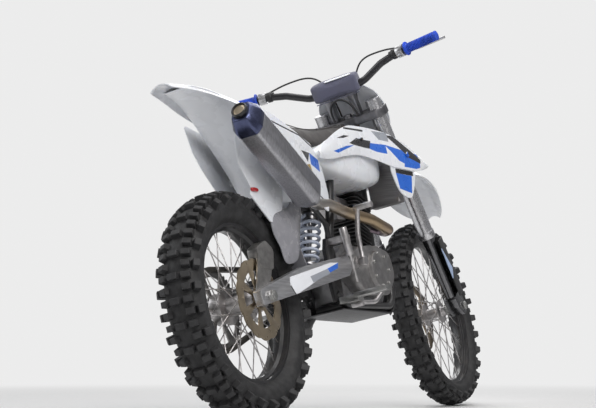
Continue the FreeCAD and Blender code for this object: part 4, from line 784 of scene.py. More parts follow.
FINISHES = {
    "shrouds": lambda: plastic("Shroud plastic", SHROUD_DECALS),
    "side_plates": lambda: plastic("Side plate plastic", PLATE_DECALS),
    "fork_guards": lambda: paint("Fork guards", (0.016, 0.016, 0.018), 0.34, coat=0.3,
                                 decals=GUARD_DECALS),
    "grey_plastic": lambda: paint("Silver grey plastic", (0.30, 0.30, 0.33), 0.24, coat=0.4,
                                  dust=0.12),
    "radiator": lambda: metal("Radiator", (0.36, 0.35, 0.35), 0.46, stretch=(1.0, 1.0, 40.0)),
    "reflector": lambda: paint("Red reflector", (0.45, 0.006, 0.008), 0.12, coat=0.8, dust=0.04),
    "tyre": lambda: rubber("Tyre rubber", (0.010, 0.010, 0.011), dust=0.10),
    "rim": lambda: paint("Rim black", (0.010, 0.010, 0.012), 0.34, worn=(0.20, 0.20, 0.21),
                         coat=0.3),
    "hub": lambda: metal("Hub and spokes", (0.62, 0.60, 0.60), 0.34),
    "disc": lambda: metal("Brake disc", (0.52, 0.43, 0.31), 0.30, stretch=(1.0, 1.0, 1.0)),
    "sprocket": lambda: metal("Sprocket steel", (0.40, 0.39, 0.38), 0.36),
    "chain": lambda: metal("Oiled chain", (0.22, 0.21, 0.19), 0.42, dust=0.2),
    "frame_paint": lambda: paint("Frame black", (0.014, 0.014, 0.016), 0.36,
                                 worn=(0.14, 0.14, 0.14), coat=0.2),
    "swingarm": lambda: metal("Swingarm", (0.66, 0.66, 0.68), 0.36, stretch=(1.0, 24.0, 24.0),
                              decals=SWINGARM_DECALS),
    "bolt": lambda: metal("Plated steel", (0.48, 0.48, 0.47), 0.32),
    "shock": lambda: metal("Shock body", (0.38, 0.38, 0.39), 0.30),
    "spring": lambda: paint("Spring", tint("spring"), 0.26, coat=0.6),
    "engine_case": lambda: metal("Engine castings", (0.34, 0.34, 0.35), 0.46, grain=0.0012,
                                 bump=0.0004),
    "engine_cover": lambda: metal("Engine covers", (0.40, 0.39, 0.39), 0.40, grain=0.001,
                                  bump=0.0002),
    "cylinder_black": lambda: paint("Black cylinder", (0.014, 0.014, 0.015), 0.5,
                                    worn=(0.62, 0.61, 0.60), grain=0.001, bump=0.0003),
    "black_plastic": lambda: paint("Black plastic", (0.018, 0.018, 0.020), 0.42, grain=0.0009,
                                   bump=0.00012),
    "exhaust_pipe": lambda: heated("Header pipe"),
    "silencer": lambda: metal("Silencer", (0.46, 0.46, 0.49), 0.38, stretch=(20.0, 20.0, 1.0),
                              dust=0.06),
    "silencer_cap": lambda: metal("Silencer cap", (0.105, 0.12, 0.22), 0.26, dust=0.05),
    "tank_plastic": lambda: plastic("Tank plastic", milky=True),
    "white_plastic": lambda: plastic("White plastic"),
    "seat_vinyl": lambda: vinyl("Pebbled vinyl"),
    "skid": lambda: metal("Skid plate", (0.13, 0.13, 0.135), 0.42, stretch=(1.0, 20.0, 20.0),
                          dust=0.12),
    "caliper": lambda: metal("Calipers", (0.40, 0.39, 0.38), 0.40),
    "clamp": lambda: metal("Clamps", (0.22, 0.22, 0.235), 0.36),
    "fork_outer": lambda: metal("Fork outer tubes", (0.68, 0.68, 0.70), 0.26,
                                stretch=(20.0, 20.0, 1.0), dust=0.08),
    "fork_lower": lambda: metal("Fork inner tubes", (0.20, 0.20, 0.21), 0.16,
                                stretch=(20.0, 20.0, 1.0), dust=0.1),
    "handlebar": lambda: paint("Handlebar", (0.014, 0.014, 0.017), 0.30, worn=(0.35, 0.35, 0.36),
                               coat=0.3),
    "bar_pad": lambda: cloth("Bar pad", tint("pad")),
    "grip": lambda: rubber("Grip rubber", tint("grip"), 0.5, dust=0.05),
    "lever": lambda: metal("Levers", (0.60, 0.60, 0.61), 0.26),
    "number_plate": lambda: plastic("Number plate"),
}
MADE = {}


def finish_of(slot):
    """The material of a slot, made on first use."""
    if slot not in MADE:
        MADE[slot] = FINISHES[slot]()
    return MADE[slot]


# Stage
PALE = (0.84, 0.84, 0.84)
LAMPS = (
    ("name", "place", "side", "power", "colour"),
    ("Key", (-2.6, -3.2, 3.6), 2.6, 120.0, (1.0, 0.98, 0.96)),
    ("Fill", (-1.5, 3.6, 2.4), 3.0, 50.0, (0.96, 0.98, 1.0)),
    ("Overhead", (0.4, -0.4, 4.2), 3.6, 68.0, (1.0, 1.0, 1.0)),
    ("Rim", (3.4, 1.4, 2.6), 2.2, 40.0, (1.0, 1.0, 1.0)),
)
LAMPS_AIM = Vector((0, -0.1, 0.55))


class BIKE_OT_stage(bpy.types.Operator):
    """Adds the floor, the soft lamps and the camera"""
    bl_idname = "bike.stage"
    bl_label = "Stage"

    def execute(self, context):
        sizes = context.scene.stage_sizes
        self.add_floor(sizes)
        self.add_world(context.scene)
        self.add_lamps(sizes)
        eye = BIKE.to_translation() + Vector(sizes.eye)
        bpy.ops.object.camera_add(location=eye, rotation=(math.pi / 2 + sizes.pitch, 0,
                                                          sizes.heading - math.pi / 2))
        camera = bpy.context.object
        camera.data.lens = sizes.lens
        camera.data.sensor_width = 36.0
        camera.data.sensor_fit = "HORIZONTAL"
        context.scene.camera = camera
        context.scene.view_settings.view_transform = "Standard"
        return {"FINISHED"}

    def add_floor(self, sizes):
        """A pale floor that keeps the bike's shadow and is plain further away."""
        deselect()
        bpy.ops.mesh.primitive_grid_add(x_subdivisions=24, y_subdivisions=24, size=sizes.floor_size)
        floor = bpy.context.object
        floor.name = "Floor"
        finish = Finish("Pale floor", Roughness=0.55)
        cloud = finish.noise(finish.place, 1.3, 4.0)
        tone = finish.blend(cloud, (0.66, 0.66, 0.66), (0.70, 0.70, 0.695))
        finish.feed(finish.body, {"Base Color": tone})
        reach = finish.add("ShaderNodeVectorMath", {0: finish.place}, operation="LENGTH")
        ray = finish.add("ShaderNodeLightPath").outputs["Is Camera Ray"]
        plain = finish.times(finish.ramp(reach.outputs["Value"], 1.6, 4.5), ray)
        glow = finish.add("ShaderNodeEmission", {"Color": rgba(PALE), "Strength": 1.0})
        looks = {0: plain, 1: finish.body.outputs[0], 2: glow.outputs[0]}
        mixed = finish.add("ShaderNodeMixShader", looks)
        finish.lay(finish.output.inputs[0], mixed.outputs[0])
        floor.data.materials.append(finish.material)

    def add_lamps(self, sizes):
        """Large soft lamps, all turned to the bike."""
        for name, place, side, power, colour in LAMPS[1:]:
            deselect()
            bpy.ops.object.light_add(type="AREA", location=place)
            lamp = bpy.context.object
            lamp.name = name
            lamp.data.shape = "SQUARE"
            lamp.data.size = side
            lamp.data.energy = power * sizes.light
            lamp.data.color = colour
            lamp.rotation_euler = (LAMPS_AIM - Vector(place)).to_track_quat("-Z", "Y").to_euler()

    def add_world(self, scene):
        """A pale sky for the camera and for reflections, darker towards the floor."""
        world = scene.world or bpy.data.worlds.new("World")
        scene.world = world
        world.use_nodes = True
        world.node_tree.nodes.clear()
        shader = Shader(world.node_tree)
        direction = shader.add("ShaderNodeTexCoord").outputs["Generated"]
        height = shader.add("ShaderNodeSeparateXYZ", {0: direction}).outputs[2]
        sky = shader.blend(shader.ramp(height, -0.1, 0.9), (0.34, 0.34, 0.35), (0.72, 0.72, 0.73))
        lit = shader.add("ShaderNodeBackground", {"Color": sky, "Strength": 0.55})
        seen = shader.add("ShaderNodeBackground", {"Color": rgba(PALE), "Strength": 1.0})
        path = shader.add("ShaderNodeLightPath").outputs
        through = shader.maths("MAXIMUM", path["Is Camera Ray"], path["Is Transmission Ray"])
        skies = {0: through, 1: lit.outputs[0], 2: seen.outputs[0]}
        both = shader.add("ShaderNodeMixShader", skies)
        shader.add("ShaderNodeOutputWorld", {"Surface": both.outputs[0]})


# Hard parts: edge radius in mm of each softened node
EDGES = {
    "rear_rim": 0.8, "front_rim": 0.8, "rear_hub": 0.5, "front_hub": 0.5, "rear_disc": 0.4,
    "front_disc": 0.4, "rear_sprocket": 0.4, "drive_sprocket": 0.4, "frame": 1.0, "subframe": 0.8,
    "swingarm": 3.0, "rear_axle": 0.8, "front_axle": 0.8, "shock_absorber": 1.0, "crankcase": 3.0,
    "clutch_cover": 4.0, "generator_cover": 4.0, "sprocket_cover": 2.5, "cylinder": 0.6,
    "carburettor": 2.0, "airbox": 3.0, "silencer": 3.0, "silencer_cap": 2.5, "skid_plate": 0.8,
    "footpegs": 1.2, "kick_lever": 1.5, "brake_pedal": 1.5, "gear_lever": 1.5,
    "rear_master_cylinder": 1.5, "rear_caliper": 2.5, "front_caliper": 2.5, "side_stand": 1.2,
    "stand_bracket": 1.0, "triple_clamps": 2.5, "fork_outers": 0.8, "fork_lowers": 1.5,
    "fork_guards": 0.8, "handlebar": 0.5, "bar_mounts": 1.5, "levers": 1.0, "header_pipe": 0.5,
    "shock_spring": 1.0, "chain": 0.5, "inner_guard": 0.6, "side_plates": 1.0, "radiators": 1.5,
}


class BIKE_OT_hard_parts(bpy.types.Operator):
    """Rounds the edges of the metal parts and gives them their finishes"""
    bl_idname = "bike.hard_parts"
    bl_label = "Hard parts"

    def execute(self, context):
        for node, radius in EDGES.items():
            if not frame["nodes"][node].hide_render:
                softened(node, radius * MM, finish=node if node in FINISHES else None)
        return {"FINISHED"}


# Tyres: bands of knobs, as shares of the width, of the rows' spacing and of the knobs' height
KNOB_BANDS = (
    ("across", "first row", "every", "long", "wide", "tilt", "sunk"),
    (0.0, 1, 2, 0.62, 0.30, 0, 0.0),
    (0.30, 0, 1, 0.58, 0.24, 22, 0.46), (-0.30, 0, 1, 0.58, 0.24, -22, 0.46),
    (0.50, 0, 2, 0.70, 0.20, 50, 1.45), (-0.50, 0, 2, 0.70, 0.20, -50, 1.45),
)
FLOOR_CLEARANCE = 0.5 * MM


def carcass(radius, width, seat):
    """The tyre without its knobs, about Y: widest near the rim and flatter on the tread."""
    height = radius - seat
    middle, tube = seat + height * 0.45, height * 0.55
    deselect()
    bpy.ops.mesh.primitive_torus_add(major_segments=120, minor_segments=28, major_radius=middle,
                                     minor_radius=tube, rotation=(math.pi / 2, 0, 0))
    piece = take(bpy.context.object)
    bpy.ops.object.transform_apply()
    for vertex in piece.data.vertices:
        across = vertex.co.y / tube
        reach = Vector((vertex.co.x, 0, vertex.co.z))
        rise = (reach.length - middle) / tube
        bulge = 1 + 0.10 * rise * abs(max(-1.0, min(1.0, across)))
        reach.length = middle + tube * max(rise, -0.80) * bulge
        beside = across * width / 2 * (0.94 if rise < -0.5 else 1.0)
        vertex.co = Vector((reach.x, beside, reach.z))
    return piece


def knob_block(size):
    """One knob with a smaller top and broken edges."""
    deselect()
    bpy.ops.mesh.primitive_cube_add(size=1)
    block = take(bpy.context.object)
    block.scale = size
    bpy.ops.object.transform_apply()
    bpy.ops.object.mode_set(mode="EDIT")
    mesh = bmesh.from_edit_mesh(block.data)
    for face in mesh.faces:
        face.select = face.normal.z > 0.9
    bmesh.update_edit_mesh(block.data)
    bpy.ops.transform.resize(value=(0.82, 0.86, 1.0))
    bpy.ops.object.mode_set(mode="OBJECT")
    return shaped(block, kind="BEVEL", width=1.2 * MM, segments=1, limit_method="ANGLE")


def tyre(sizes, wheel, place):
    """A tyre with three knobs across its tread and larger ones at its shoulders."""
    names = [f"{wheel}_{size}" for size in ("radius", "width", "seat", "knob")]
    radius, width, seat, knob = [getattr(sizes, name) for name in names]
    pieces = [carcass(radius - knob, width, seat)]
    step = 2 * math.pi / sizes.rows
    for across, first, every, long, wide, tilt, sunk in KNOB_BANDS[1:]:
        block = knob_block((radius * step * long, width * wide, knob * 1.7))
        height = radius - knob * 0.85 - max(knob * sunk, FLOOR_CLEARANCE)
        lean = Matrix.Rotation(math.radians(-tilt), 4, "X")
        foot = Matrix.Translation((0, width * across, height)) @ lean
        rows = range(first, sizes.rows, every)
        places = [Matrix.Rotation(row * step, 4, "Y") @ foot for row in rows]
        pieces.append(copies(block, places, "Knobs"))
    name = wheel + "_tyre"
    whole = smooth(joined(pieces, name + "_piece"), 28)
    return fitted(whole, name + "_piece", place, wheel + "_wheel", "tyre", [name])


class BIKE_OT_tyres(bpy.types.Operator):
    """Adds the knobbly tyres"""
    bl_idname = "bike.tyres"
    bl_label = "Tyres"

    def execute(self, context):
        sizes = context.scene.tyre_sizes
        tyre(sizes, "rear", REAR_WHEEL)
        tyre(sizes, "front", FRONT_WHEEL)
        return {"FINISHED"}


# Bodywork: columns in mm on the upright bike
SHROUD_ROWS = (
    ("x", "low", "low y", "high", "high y"),
    (440, 796, 134, 820, 134), (520, 799, 137, 866, 132), (600, 819, 142, 906, 131),
    (700, 836, 148, 944, 131), (770, 837, 150, 948, 132), (860, 822, 164, 949, 141),
    (930, 806, 180, 943, 155), (1000, 803, 194, 928, 170), (1060, 801, 204, 896, 188),
    (1105, 812, 207, 863, 200), (1142, 824, 207, 834, 206),
)
WING_ROWS = (
    ("x", "low", "low y", "high", "high y"),
    (905, 792, 171, 822, 171), (932, 722, 172, 826, 176), (975, 708, 178, 828, 184),
    (1012, 697, 184, 826, 192), (1042, 780, 196, 824, 200),
)
REAR_FENDER_ROWS = (
    ("x", "half", "half of the flat", "crown", "drop"),
    (-216, 38, 24, 968, 14), (-190, 45, 29, 971, 17), (-100, 66, 42, 976, 24),
    (0, 86, 55, 968, 32), (110, 93, 62, 956, 34), (205, 105, 68, 936, 34), (330, 110, 72, 902, 34),
    (440, 108, 74, 872, 34),
)
FRONT_FENDER_ROWS = (
    ("x", "half", "half of the flat", "crown", "drop"),
    (1120, 50, 32, 806, 14), (1160, 58, 38, 850, 26), (1215, 64, 42, 876, 34),
    (1300, 100, 58, 892, 40), (1400, 108, 62, 892, 42), (1500, 106, 60, 868, 44),
    (1560, 94, 52, 826, 42), (1640, 66, 38, 784, 30), (1690, 39, 25, 762, 18),
    (1710, 30, 20, 756, 14),
)
TANK_ROWS = (
    ("x", "half", "under", "edge", "top", "half of the top"),
    (440, 96, 790, 818, 838, 60), (452, 98, 788, 821, 842, 62), (560, 126, 765, 850, 884, 84),
    (660, 134, 752, 868, 912, 95), (760, 140, 742, 884, 936, 104), (900, 134, 750, 906, 975, 92),
    (950, 108, 788, 922, 978, 66), (962, 98, 800, 925, 978, 58),
)
SEAT_ROWS = (
    ("x", "half", "half of the top", "base", "edge", "top"),
    (205, 58, 46, 907, 915, 928), (222, 62, 50, 904, 914, 930), (372, 89, 66, 870, 882, 921),
    (490, 108, 68, 836, 852, 917), (640, 97, 66, 866, 882, 942), (760, 79, 52, 934, 947, 972),
    (844, 54, 38, 970, 976, 985), (854, 50, 36, 974, 979, 987),
)
LINER_ROWS = (
    ("x", "height", "half"),
    (-150, 961, 44), (-60, 957, 64), (30, 930, 79), (84, 893, 84), (160, 822, 86), (222, 762, 86),
    (262, 700, 84), (288, 640, 80), (304, 590, 74),
)
NUMBER_PLATE_ROWS = (
    ("height", "half", "ahead"),
    (655, 62, 92), (668, 74, 94), (720, 114, 104), (800, 130, 97), (880, 116, 77), (918, 74, 67),
    (930, 60, 66),
)


SCREW = ((9, -3), (9, 1), (7, 2.4), (3.4, 2.6), (3.2, 0.8), (0.4, 0.8))
SHROUD_SCREWS = ((742, 156, 893), (1010, 199, 860), (600, 144, 850))
CAP = ((27, 0), (30, 2), (30, 30), (28, 34), (20, 36), (0.5, 36.5))
CAP_RIBS = 18
CAP_RIB_CIRCLE = 30.2 * MM
CAP_PLACE = Vector((905, 0, 971))


def upright_sheet(name, rows, bow, sign):
    """A panel on edge that bows outwards, on one side."""
    points = []
    for x, low, low_y, high, high_y in rows[1:]:
        row = []
        for share in (0.0, 0.06, 0.28, 0.5, 0.72, 0.94, 1.0):
            y = low_y + (high_y - low_y) * share + bow * 4 * share * (1 - share)
            row.append((x, sign * (y - 2), low + (high - low) * share))
        points.append(row)
    return moulded(name, points)


def folded_sheet(name, rows, crest):
    """A fender: a flat between two folds with a drop on each side, open below."""
    points = []
    for x, half, flat, crown, drop in rows[1:]:
        right = [(half - 2, -drop), (half * 0.5 + flat * 0.5 - 1, -drop * 0.52),
                 (flat + 3, -5), (flat - 5, -2), (flat * 0.5, crest * 0.7)]
        profile = [(-y, z) for y, z in right] + [(0, crest)] + list(reversed(right))
        points.append([(x, y, crown + z - 2) for y, z in profile])
    return moulded(name, points)


class BIKE_OT_bodywork(bpy.types.Operator):
    """Adds the shrouds, the fenders, the tank with its cap and the number plate"""
    bl_idname = "bike.bodywork"
    bl_label = "Bodywork"

    def execute(self, context):
        panels = []
        for sign in SIDES:
            panels.append(upright_sheet("Shroud", SHROUD_ROWS, 7, sign))
            panels.append(upright_sheet("Wing", WING_ROWS, 0, sign))
            for x, y, z in SHROUD_SCREWS:
                screw = turned("Screw", SCREW, 20)
                panels.append(stood(screw, (x, sign * y, z), (0, sign, 0)))
        fitted(joined(panels, "Shrouds"), "shrouds_piece", BIKE, "chassis", "white_plastic",
               ["shrouds"], finish="shrouds")
        fitted(folded_sheet("Rear", REAR_FENDER_ROWS, 3), "rear_fender_piece", BIKE, "chassis",
               "white_plastic", ["rear_fender"])
        liner = [[(x + 14 * abs(share) ** 4, half * share, height + 8 * abs(share) ** 4)
                  for share in (-1.0, -0.94, -0.7, -0.35, 0.0, 0.35, 0.7, 0.94, 1.0)]
                 for x, height, half in LINER_ROWS[1:]]
        fitted(moulded("Liner", liner, 3.0), "fender_liner_piece", BIKE, "chassis", "white_plastic")
        fitted(folded_sheet("Front", FRONT_FENDER_ROWS, 3), "front_fender_piece", STEERED,
               "steering", "white_plastic", ["front_fender"])
        self.add_tank()
        points = []
        for height, half, ahead in NUMBER_PLATE_ROWS[1:]:
            points.append([(ahead - 2 - 26 * abs(share) ** 1.5, half * share, height)
                           for share in (-1.0, -0.96, -0.7, -0.35, 0.0, 0.35, 0.7, 0.96, 1.0)])
        fitted(moulded("Plate", points), "number_plate_piece", FORK, "steering", "number_plate",
               ["number_plate"])
        return {"FINISHED"}

    def add_tank(self):
        """The tank and its filler cap with grip ribs."""
        rings = []
        for x, half, under, edge, top, top_half in TANK_ROWS[1:]:
            side = [(half * 0.72, under), (half - 3, under + 12), (half, (under + edge) / 2),
                    (half, edge - 6), ((half + top_half) / 2 + 3, (edge + top) / 2 + 3),
                    (top_half, top - 1)]
            rings.append(even_ring(x, side, top + 2, under))
        fitted(shell("Tank", rings), "fuel_tank_piece", BIKE, "chassis", "tank_plastic",
               ["fuel_tank"])
        pieces = [turned("Cap", CAP, 48)]
        for step in range(CAP_RIBS):
            turn = step * 2 * math.pi / CAP_RIBS
            rib = peg(2.2 * MM, 26 * MM, 8)
            rib.data.transform(Matrix.Translation((CAP_RIB_CIRCLE * math.cos(turn),
                                                   CAP_RIB_CIRCLE * math.sin(turn), 3 * MM)))
            pieces.append(rib)
        cap = joined(pieces, "Cap")
        cap.data.transform(Matrix.Translation(CAP_PLACE * MM))
        fitted(cap, "tank_cap_piece", BIKE, "chassis", "black_plastic")


# Mud flap: its outline in mm (x, z) beside the wheel
FLAP = (
    (147, 577), (150, 558), (152, 540), (166, 520), (181, 504), (186, 474), (198, 449), (240, 456),
    (282, 468), (300, 505), (316, 542), (338, 590), (358, 634), (360, 652), (347, 663), (326, 664),
    (307, 661), (290, 650), (278, 636), (236, 624), (194, 614), (168, 606), (153, 592),
)
FLAP_MIDDLE = Vector((262, 570))
FLAP_SIDE = -75
FLAP_BULGE = ((1.0, 0), (0.93, 3), (0.75, 7), (0.5, 11), (0.2, 13))
FLAP_SCREW = ((8, -3), (8, 1), (6.5, 2.6), (3.2, 3), (3, 1), (0.4, 1))
FLAP_SCREWS = ((196, -81, 590), (322, -81, 640), (214, -81, 480), (292, -81, 522))
BACK_RADIUS = 355
BACK_START = 17
BACK_SWEEP = 49


class BIKE_OT_mud_flap(bpy.types.Operator):
    """Adds the mud flap: a bulged side with its screws, and the plate behind the tyre"""
    bl_idname = "bike.mud_flap"
    bl_label = "Mud flap"

    def execute(self, context):
        rings = []
        for share, bulge in FLAP_BULGE:
            ring = [FLAP_MIDDLE + (Vector(corner) - FLAP_MIDDLE) * share for corner in FLAP]
            rings.append([(point.x, FLAP_SIDE - bulge, point.y) for point in ring])
        side = woven("Flap", in_metres(rings), closed=True)
        take(side)
        bpy.ops.object.mode_set(mode="EDIT")
        mesh = bmesh.from_edit_mesh(side.data)
        for edge in mesh.edges:
            inner = min(vertex.co.y for vertex in edge.verts) < (FLAP_SIDE - 10) * MM
            edge.select = edge.is_boundary and inner
        bmesh.update_edit_mesh(side.data)
        bpy.ops.mesh.edge_face_add()
        bpy.ops.object.mode_set(mode="OBJECT")
        shaped(subdivided(side, 2), kind="SOLIDIFY", thickness=3 * MM, offset=0)
        pieces = [smooth(side, 50)]
        rows = []
        for step in range(9):
            turn = math.radians(BACK_START + step * BACK_SWEEP / 8)
            x, z = BACK_RADIUS * math.cos(turn), BACK_RADIUS * math.sin(turn)
            rows.append([(x, y, z) for y in (-73, -69, -30, 9, 48, 52)])
        back = moulded("Back", rows)
        back.data.transform(Matrix.Translation((0, 0, REAR_WHEEL_HEIGHT * MM)))
        pieces.append(back)
        for point in FLAP_SCREWS:
            pieces.append(stood(turned("Screw", FLAP_SCREW, 20), point, (0, -1, 0)))
        fitted(joined(pieces, "Flap"), "mud_flap_piece", BIKE, "chassis", "grey_plastic",
               ["mud_flap"])
        return {"FINISHED"}


# Padded pieces: the welts' radius, and the bar pad's sections across the bike with their scale
WELT = 1.6 * MM
PAD_SECTIONS = (
    (-90, 0.86), (-87, 0.96), (-60, 1.0), (-30, 1.0), (0, 1.0), (30, 1.0), (60, 1.0), (87, 0.96),
    (90, 0.86),
)
PAD_HALF_LONG, PAD_HALF_HIGH = 28, 34
PAD_AHEAD, PAD_HEIGHT = 2, 937
PAD_CORNERS = 0.28


def squared(share):
    """A sine or cosine drawn out, so that a ring of them has corners."""
    return math.copysign(abs(share) ** PAD_CORNERS, share)


class BIKE_OT_soft_parts(bpy.types.Operator):
    """Adds the seat and the handlebar pad, both filled with foam, with their seams"""
    bl_idname = "bike.soft_parts"
    bl_label = "Soft parts"

    def execute(self, context):
        self.add_seat()
        self.add_bar_pad()
        return {"FINISHED"}

    def add_seat(self):
        """The seat: a crowned foam block with a welt along each edge of its top."""
        rings, welts = [], {1: [], -1: []}
        for x, half, top_half, base, edge, top in SEAT_ROWS[1:]:
            side = [(half * 0.6, base), (half - 2, base + 1), (half, edge),
                    ((half + top_half) / 2 + 3, (edge + top) / 2 + 3), (top_half, top - 3),
                    (top_half * 0.55, top)]
            rings.append(even_ring(x, side, top + 1, base))
            for sign in welts:
                welts[sign].append(Vector((x, sign * (top_half + 1), top - 3)) * MM)
        foam = filled(shell("Foam", rings, 1), voxel=5.5 * MM, most=3 * MM)
        pieces = [foam] + [hose("Welt", points, WELT, 8) for points in welts.values()]
        seat = fitted(joined(pieces, "Cover"), "seat_piece", BIKE, "chassis", "seat_vinyl",
                      ["seat"])

    def add_bar_pad(self):
        """The pad over the middle of the handlebar, with its stitched closing strip."""
        rings = []
        for y, scale in PAD_SECTIONS:
            ring = []
            for step in range(16):
                turn = step * math.pi / 8
                ahead = squared(math.cos(turn)) * PAD_HALF_LONG * scale
                rise = squared(math.sin(turn)) * PAD_HALF_HIGH * scale
                ring.append((PAD_AHEAD + ahead, y, PAD_HEIGHT + rise))
            rings.append(ring)
        foam = filled(shell("Pad", rings, 1), voxel=4 * MM, most=3 * MM)
        seam = [Vector((-24, y, 902)) * MM for y in (-84, -40, 0, 40, 84)]
        flap = hose("Closing strip", seam, WELT, 8)
        pad = fitted(joined([foam, flap], "Pad"), "bar_pad_piece", FORK, "steering", "bar_pad",
                     ["bar_pad"])
        rows = [[(-22, y, 970.5), (-16, y, 972.5), (-8, y, 973)] for y in (-74, -30, 10, 30)]
        stripe = moulded("Stripe", rows, 1.2, 1)
        fitted(stripe, "pad_stripe_piece", FORK, "steering", "white_plastic")


# Handlebar: distance from the middle, ahead of the steering axis and height along the fork
BAR = ((60, 0, 922), (112, 0, 932), (188, 0, 968), (252, -2, 984), (415, -24, 1000))
GRIP_LENGTH = 122
GRIP_RIBS, RIB_SPACING = 19, 5.4
GRIP_FLANGE = ((15.5, 112), (17, 115), (24.5, 116), (25, 118), (25, 120), (23, 122), (13.4, 122))
COLLAR = ((12, 0), (17, 0), (18.5, 2), (18.5, 15), (17, 17), (15, 18), (15, 26), (12, 27))
NIPPLE = ((3.4, 0), (5, 2), (5, 14), (4, 18), (3.4, 24))
CABLE_END = ((74, 108, 996), (78, 66, 958), (62, 46, 905), (48, 40, 862), (44, 36, 822))
LOOP = ((-34, 40, 826), (-42, 40, 858), (-46, 28, 892), (-46, -8, 906), (-46, -40, 884),
        (-42, -50, 850), (-34, -52, 824))
CABLE_RADIUS, LOOP_RADIUS = 3.2 * MM, 4.2 * MM


class BIKE_OT_cockpit(bpy.types.Operator):
    """Adds the ribbed grips and the cables and hoses of the handlebar"""
    bl_idname = "bike.cockpit"
    bl_label = "Cockpit"

    def execute(self, context):
        grips, cables = [], []
        for sign in SIDES:
            outer = Vector((BAR[-1][1], sign * BAR[-1][0], BAR[-1][2]))
            inner = Vector((BAR[-2][1], sign * BAR[-2][0], BAR[-2][2]))
            line = (inner - outer).normalized()
            profile = [(12.0, -4.0), (17.0, -4.0), (17.5, -1.0), (17.0, 3.0)]
            for rib in range(GRIP_RIBS):
                start = 6 + rib * RIB_SPACING
                profile += [(14.8, start), (14.8, start + 1.6), (17.0, start + 2.2),
                            (17.0, start + 4.8)]
            profile += GRIP_FLANGE
            grips.append(stood(turned("Grip", profile, 28), outer, line))
            perch = outer + line * (GRIP_LENGTH + 22)
            start = perch + Vector((24, 0, 6))
            path = [start, start + Vector((22, -sign * 24, 3)), start + Vector((44, -sign * 82, 8))]
            path += [Vector((x, sign * y, z)) for x, y, z in CABLE_END]
            cables.append(hose("Cable", [point * MM for point in path], CABLE_RADIUS))
            cables.append(stood(turned("Collar", COLLAR, 24), perch + line * 16, line))
            cables.append(stood(turned("Nipple", NIPPLE, 16), start, (22, -sign * 24, 2)))
        cables.append(hose("Loop", [Vector(point) * MM for point in LOOP], LOOP_RADIUS))
        fitted(joined(grips, "Grips"), "grips_piece", FORK, "steering", "grip", ["grips"])
        fitted(joined(cables, "Cables"), "cables_piece", FORK, "steering", "black_plastic")
        return {"FINISHED"}


# Bolt heads: body, slot, circle and head radius in mm, count, centre (x, y, z), facing
BOLT_CIRCLES = (
    ("chassis", "bolt", 56, 5, 7, (765, -124, 452), -1),
    ("chassis", "bolt", 46, 5, 6, (800, 104, 450), 1),
    ("rear_wheel", "bolt", 40, 4, 6, (0, 82, 0), 1),
)
# Round pieces at the silencer's mouth: name, slot, finish, profile of radius and height in mm
OUTLET_PIECES = (
    ("outlet_ring", "frame_paint", None,
     ((19.4, -34), (21.4, -34), (22, -2), (25, 0), (25.5, 3), (25, 12), (23.5, 14), (21, 14),
      (19.8, 12), (19.4, -1))),
    ("outlet_sleeve", "exhaust_pipe", "disc",
     ((16.4, -34), (19.2, -34), (19.3, 6), (18.9, 8.5), (17.4, 8.8), (16.6, 7))),
)
# Reflector: its middle, its outline (x, z) and its sections (y, scale), in mm
REFLECTOR = Vector((74, -80, 668))
REFLECTOR_OUTLINE = ((-20, -7), (20, -7), (21, 0), (20, 7), (-20, 7), (-21, 0))
REFLECTOR_SECTIONS = ((3, 1.0), (0, 1.0), (-4, 0.97), (-6, 0.85))


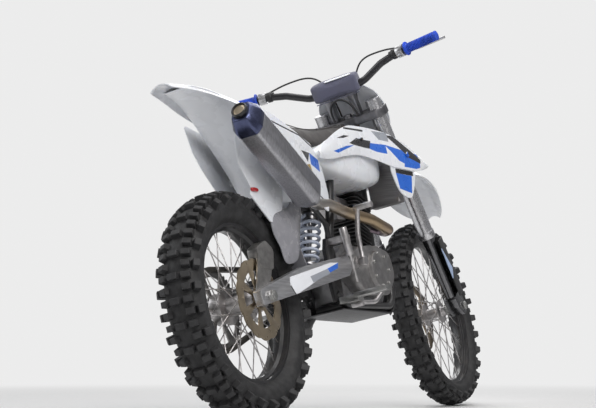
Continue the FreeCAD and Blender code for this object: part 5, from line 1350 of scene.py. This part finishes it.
class BIKE_OT_fastenings(bpy.types.Operator):
    """Adds bolt heads, the silencer's outlet ring and sleeve, and the reflector"""
    bl_idname = "bike.fastenings"
    bl_label = "Fastenings"

    def execute(self, context):
        for index, circle_of_bolts in enumerate(BOLT_CIRCLES):
            body, slot, circle, radius, count, centre, facing = circle_of_bolts
            profile = ((radius + 2.5, -2), (radius + 2.5, 0.8), (radius, 1.2), (radius, 5),
                       (radius - 1, 6), (radius * 0.55, 6), (radius * 0.5, 2.5), (0.3, 2.5))
            heads = []
            for step in range(count):
                turn = 2 * math.pi * step / count
                around = Vector((circle * math.cos(turn), 0, circle * math.sin(turn)))
                head = turned("Head", profile, 18)
                heads.append(stood(head, Vector(centre) + around, (0, facing, 0)))
            place = REAR_WHEEL if body == "rear_wheel" else BIKE
            fitted(joined(heads, "Heads"), f"bolts_{index}_piece", place, body, slot)
        mounts = {mount["name"]: mount for mount in frame["record"]["mounts"]}
        outlet = mounts["silencer_outlet"]
        half_depth = outlet["dims"]["length_mm"] / 2 * MM
        middle, axis = Vector(outlet["pos_m"]), outlet["axis"]
        mouth = standing(middle + Vector(axis) * half_depth, axis)
        for name, slot, finish, profile in OUTLET_PIECES:
            ring = subdivided(turned("Ring", profile, 40), 1)
            fitted(ring, name + "_piece", mouth, "chassis", slot, finish=finish)
        lens = shell("Lens", [[(x * scale, y, z * scale) for x, z in REFLECTOR_OUTLINE]
                              for y, scale in REFLECTOR_SECTIONS])
        lens.data.transform(Matrix.Translation(REFLECTOR * MM))
        fitted(lens, "reflector_piece", BIKE, "chassis", "black_plastic", finish="reflector")
        return {"FINISHED"}


class BIKE_PT_panel(bpy.types.Panel):
    """Lists the pieces and their sizes"""
    bl_idname = "BIKE_PT_panel"
    bl_label = "Dirt Bike"
    bl_space_type = "VIEW_3D"
    bl_region_type = "UI"
    bl_category = "Dirt Bike"

    def draw(self, context):
        for name, kind in SETTINGS.items():
            box = self.layout.box()
            for field in kind.__annotations__:
                box.prop(getattr(context.scene, name), field)
        for operator in OPERATORS:
            self.layout.operator(operator.bl_idname)


OPERATORS = (BIKE_OT_stage, BIKE_OT_tyres, BIKE_OT_bodywork, BIKE_OT_mud_flap, BIKE_OT_soft_parts,
             BIKE_OT_cockpit, BIKE_OT_fastenings, BIKE_OT_hard_parts)
SETTINGS = {"stage_sizes": StageSizes, "tyre_sizes": TyreSizes, "body_colours": BodyColours}
KINDS = (*SETTINGS.values(), *OPERATORS, BIKE_PT_panel)


def register():
    for kind in KINDS:
        bpy.utils.register_class(kind)
    for name, kind in SETTINGS.items():
        setattr(bpy.types.Scene, name, PointerProperty(type=kind))


def unregister():
    for name in SETTINGS:
        delattr(bpy.types.Scene, name)
    for kind in reversed(KINDS):
        bpy.utils.unregister_class(kind)


def main():
    """Makes every piece in order."""
    register()
    make_effects()
    bpy.ops.bike.stage()
    bpy.ops.bike.tyres()
    bpy.ops.bike.bodywork()
    bpy.ops.bike.mud_flap()
    bpy.ops.bike.soft_parts()
    bpy.ops.bike.cockpit()
    bpy.ops.bike.fastenings()
    bpy.ops.bike.hard_parts()


if __name__ == "__main__":
    main()
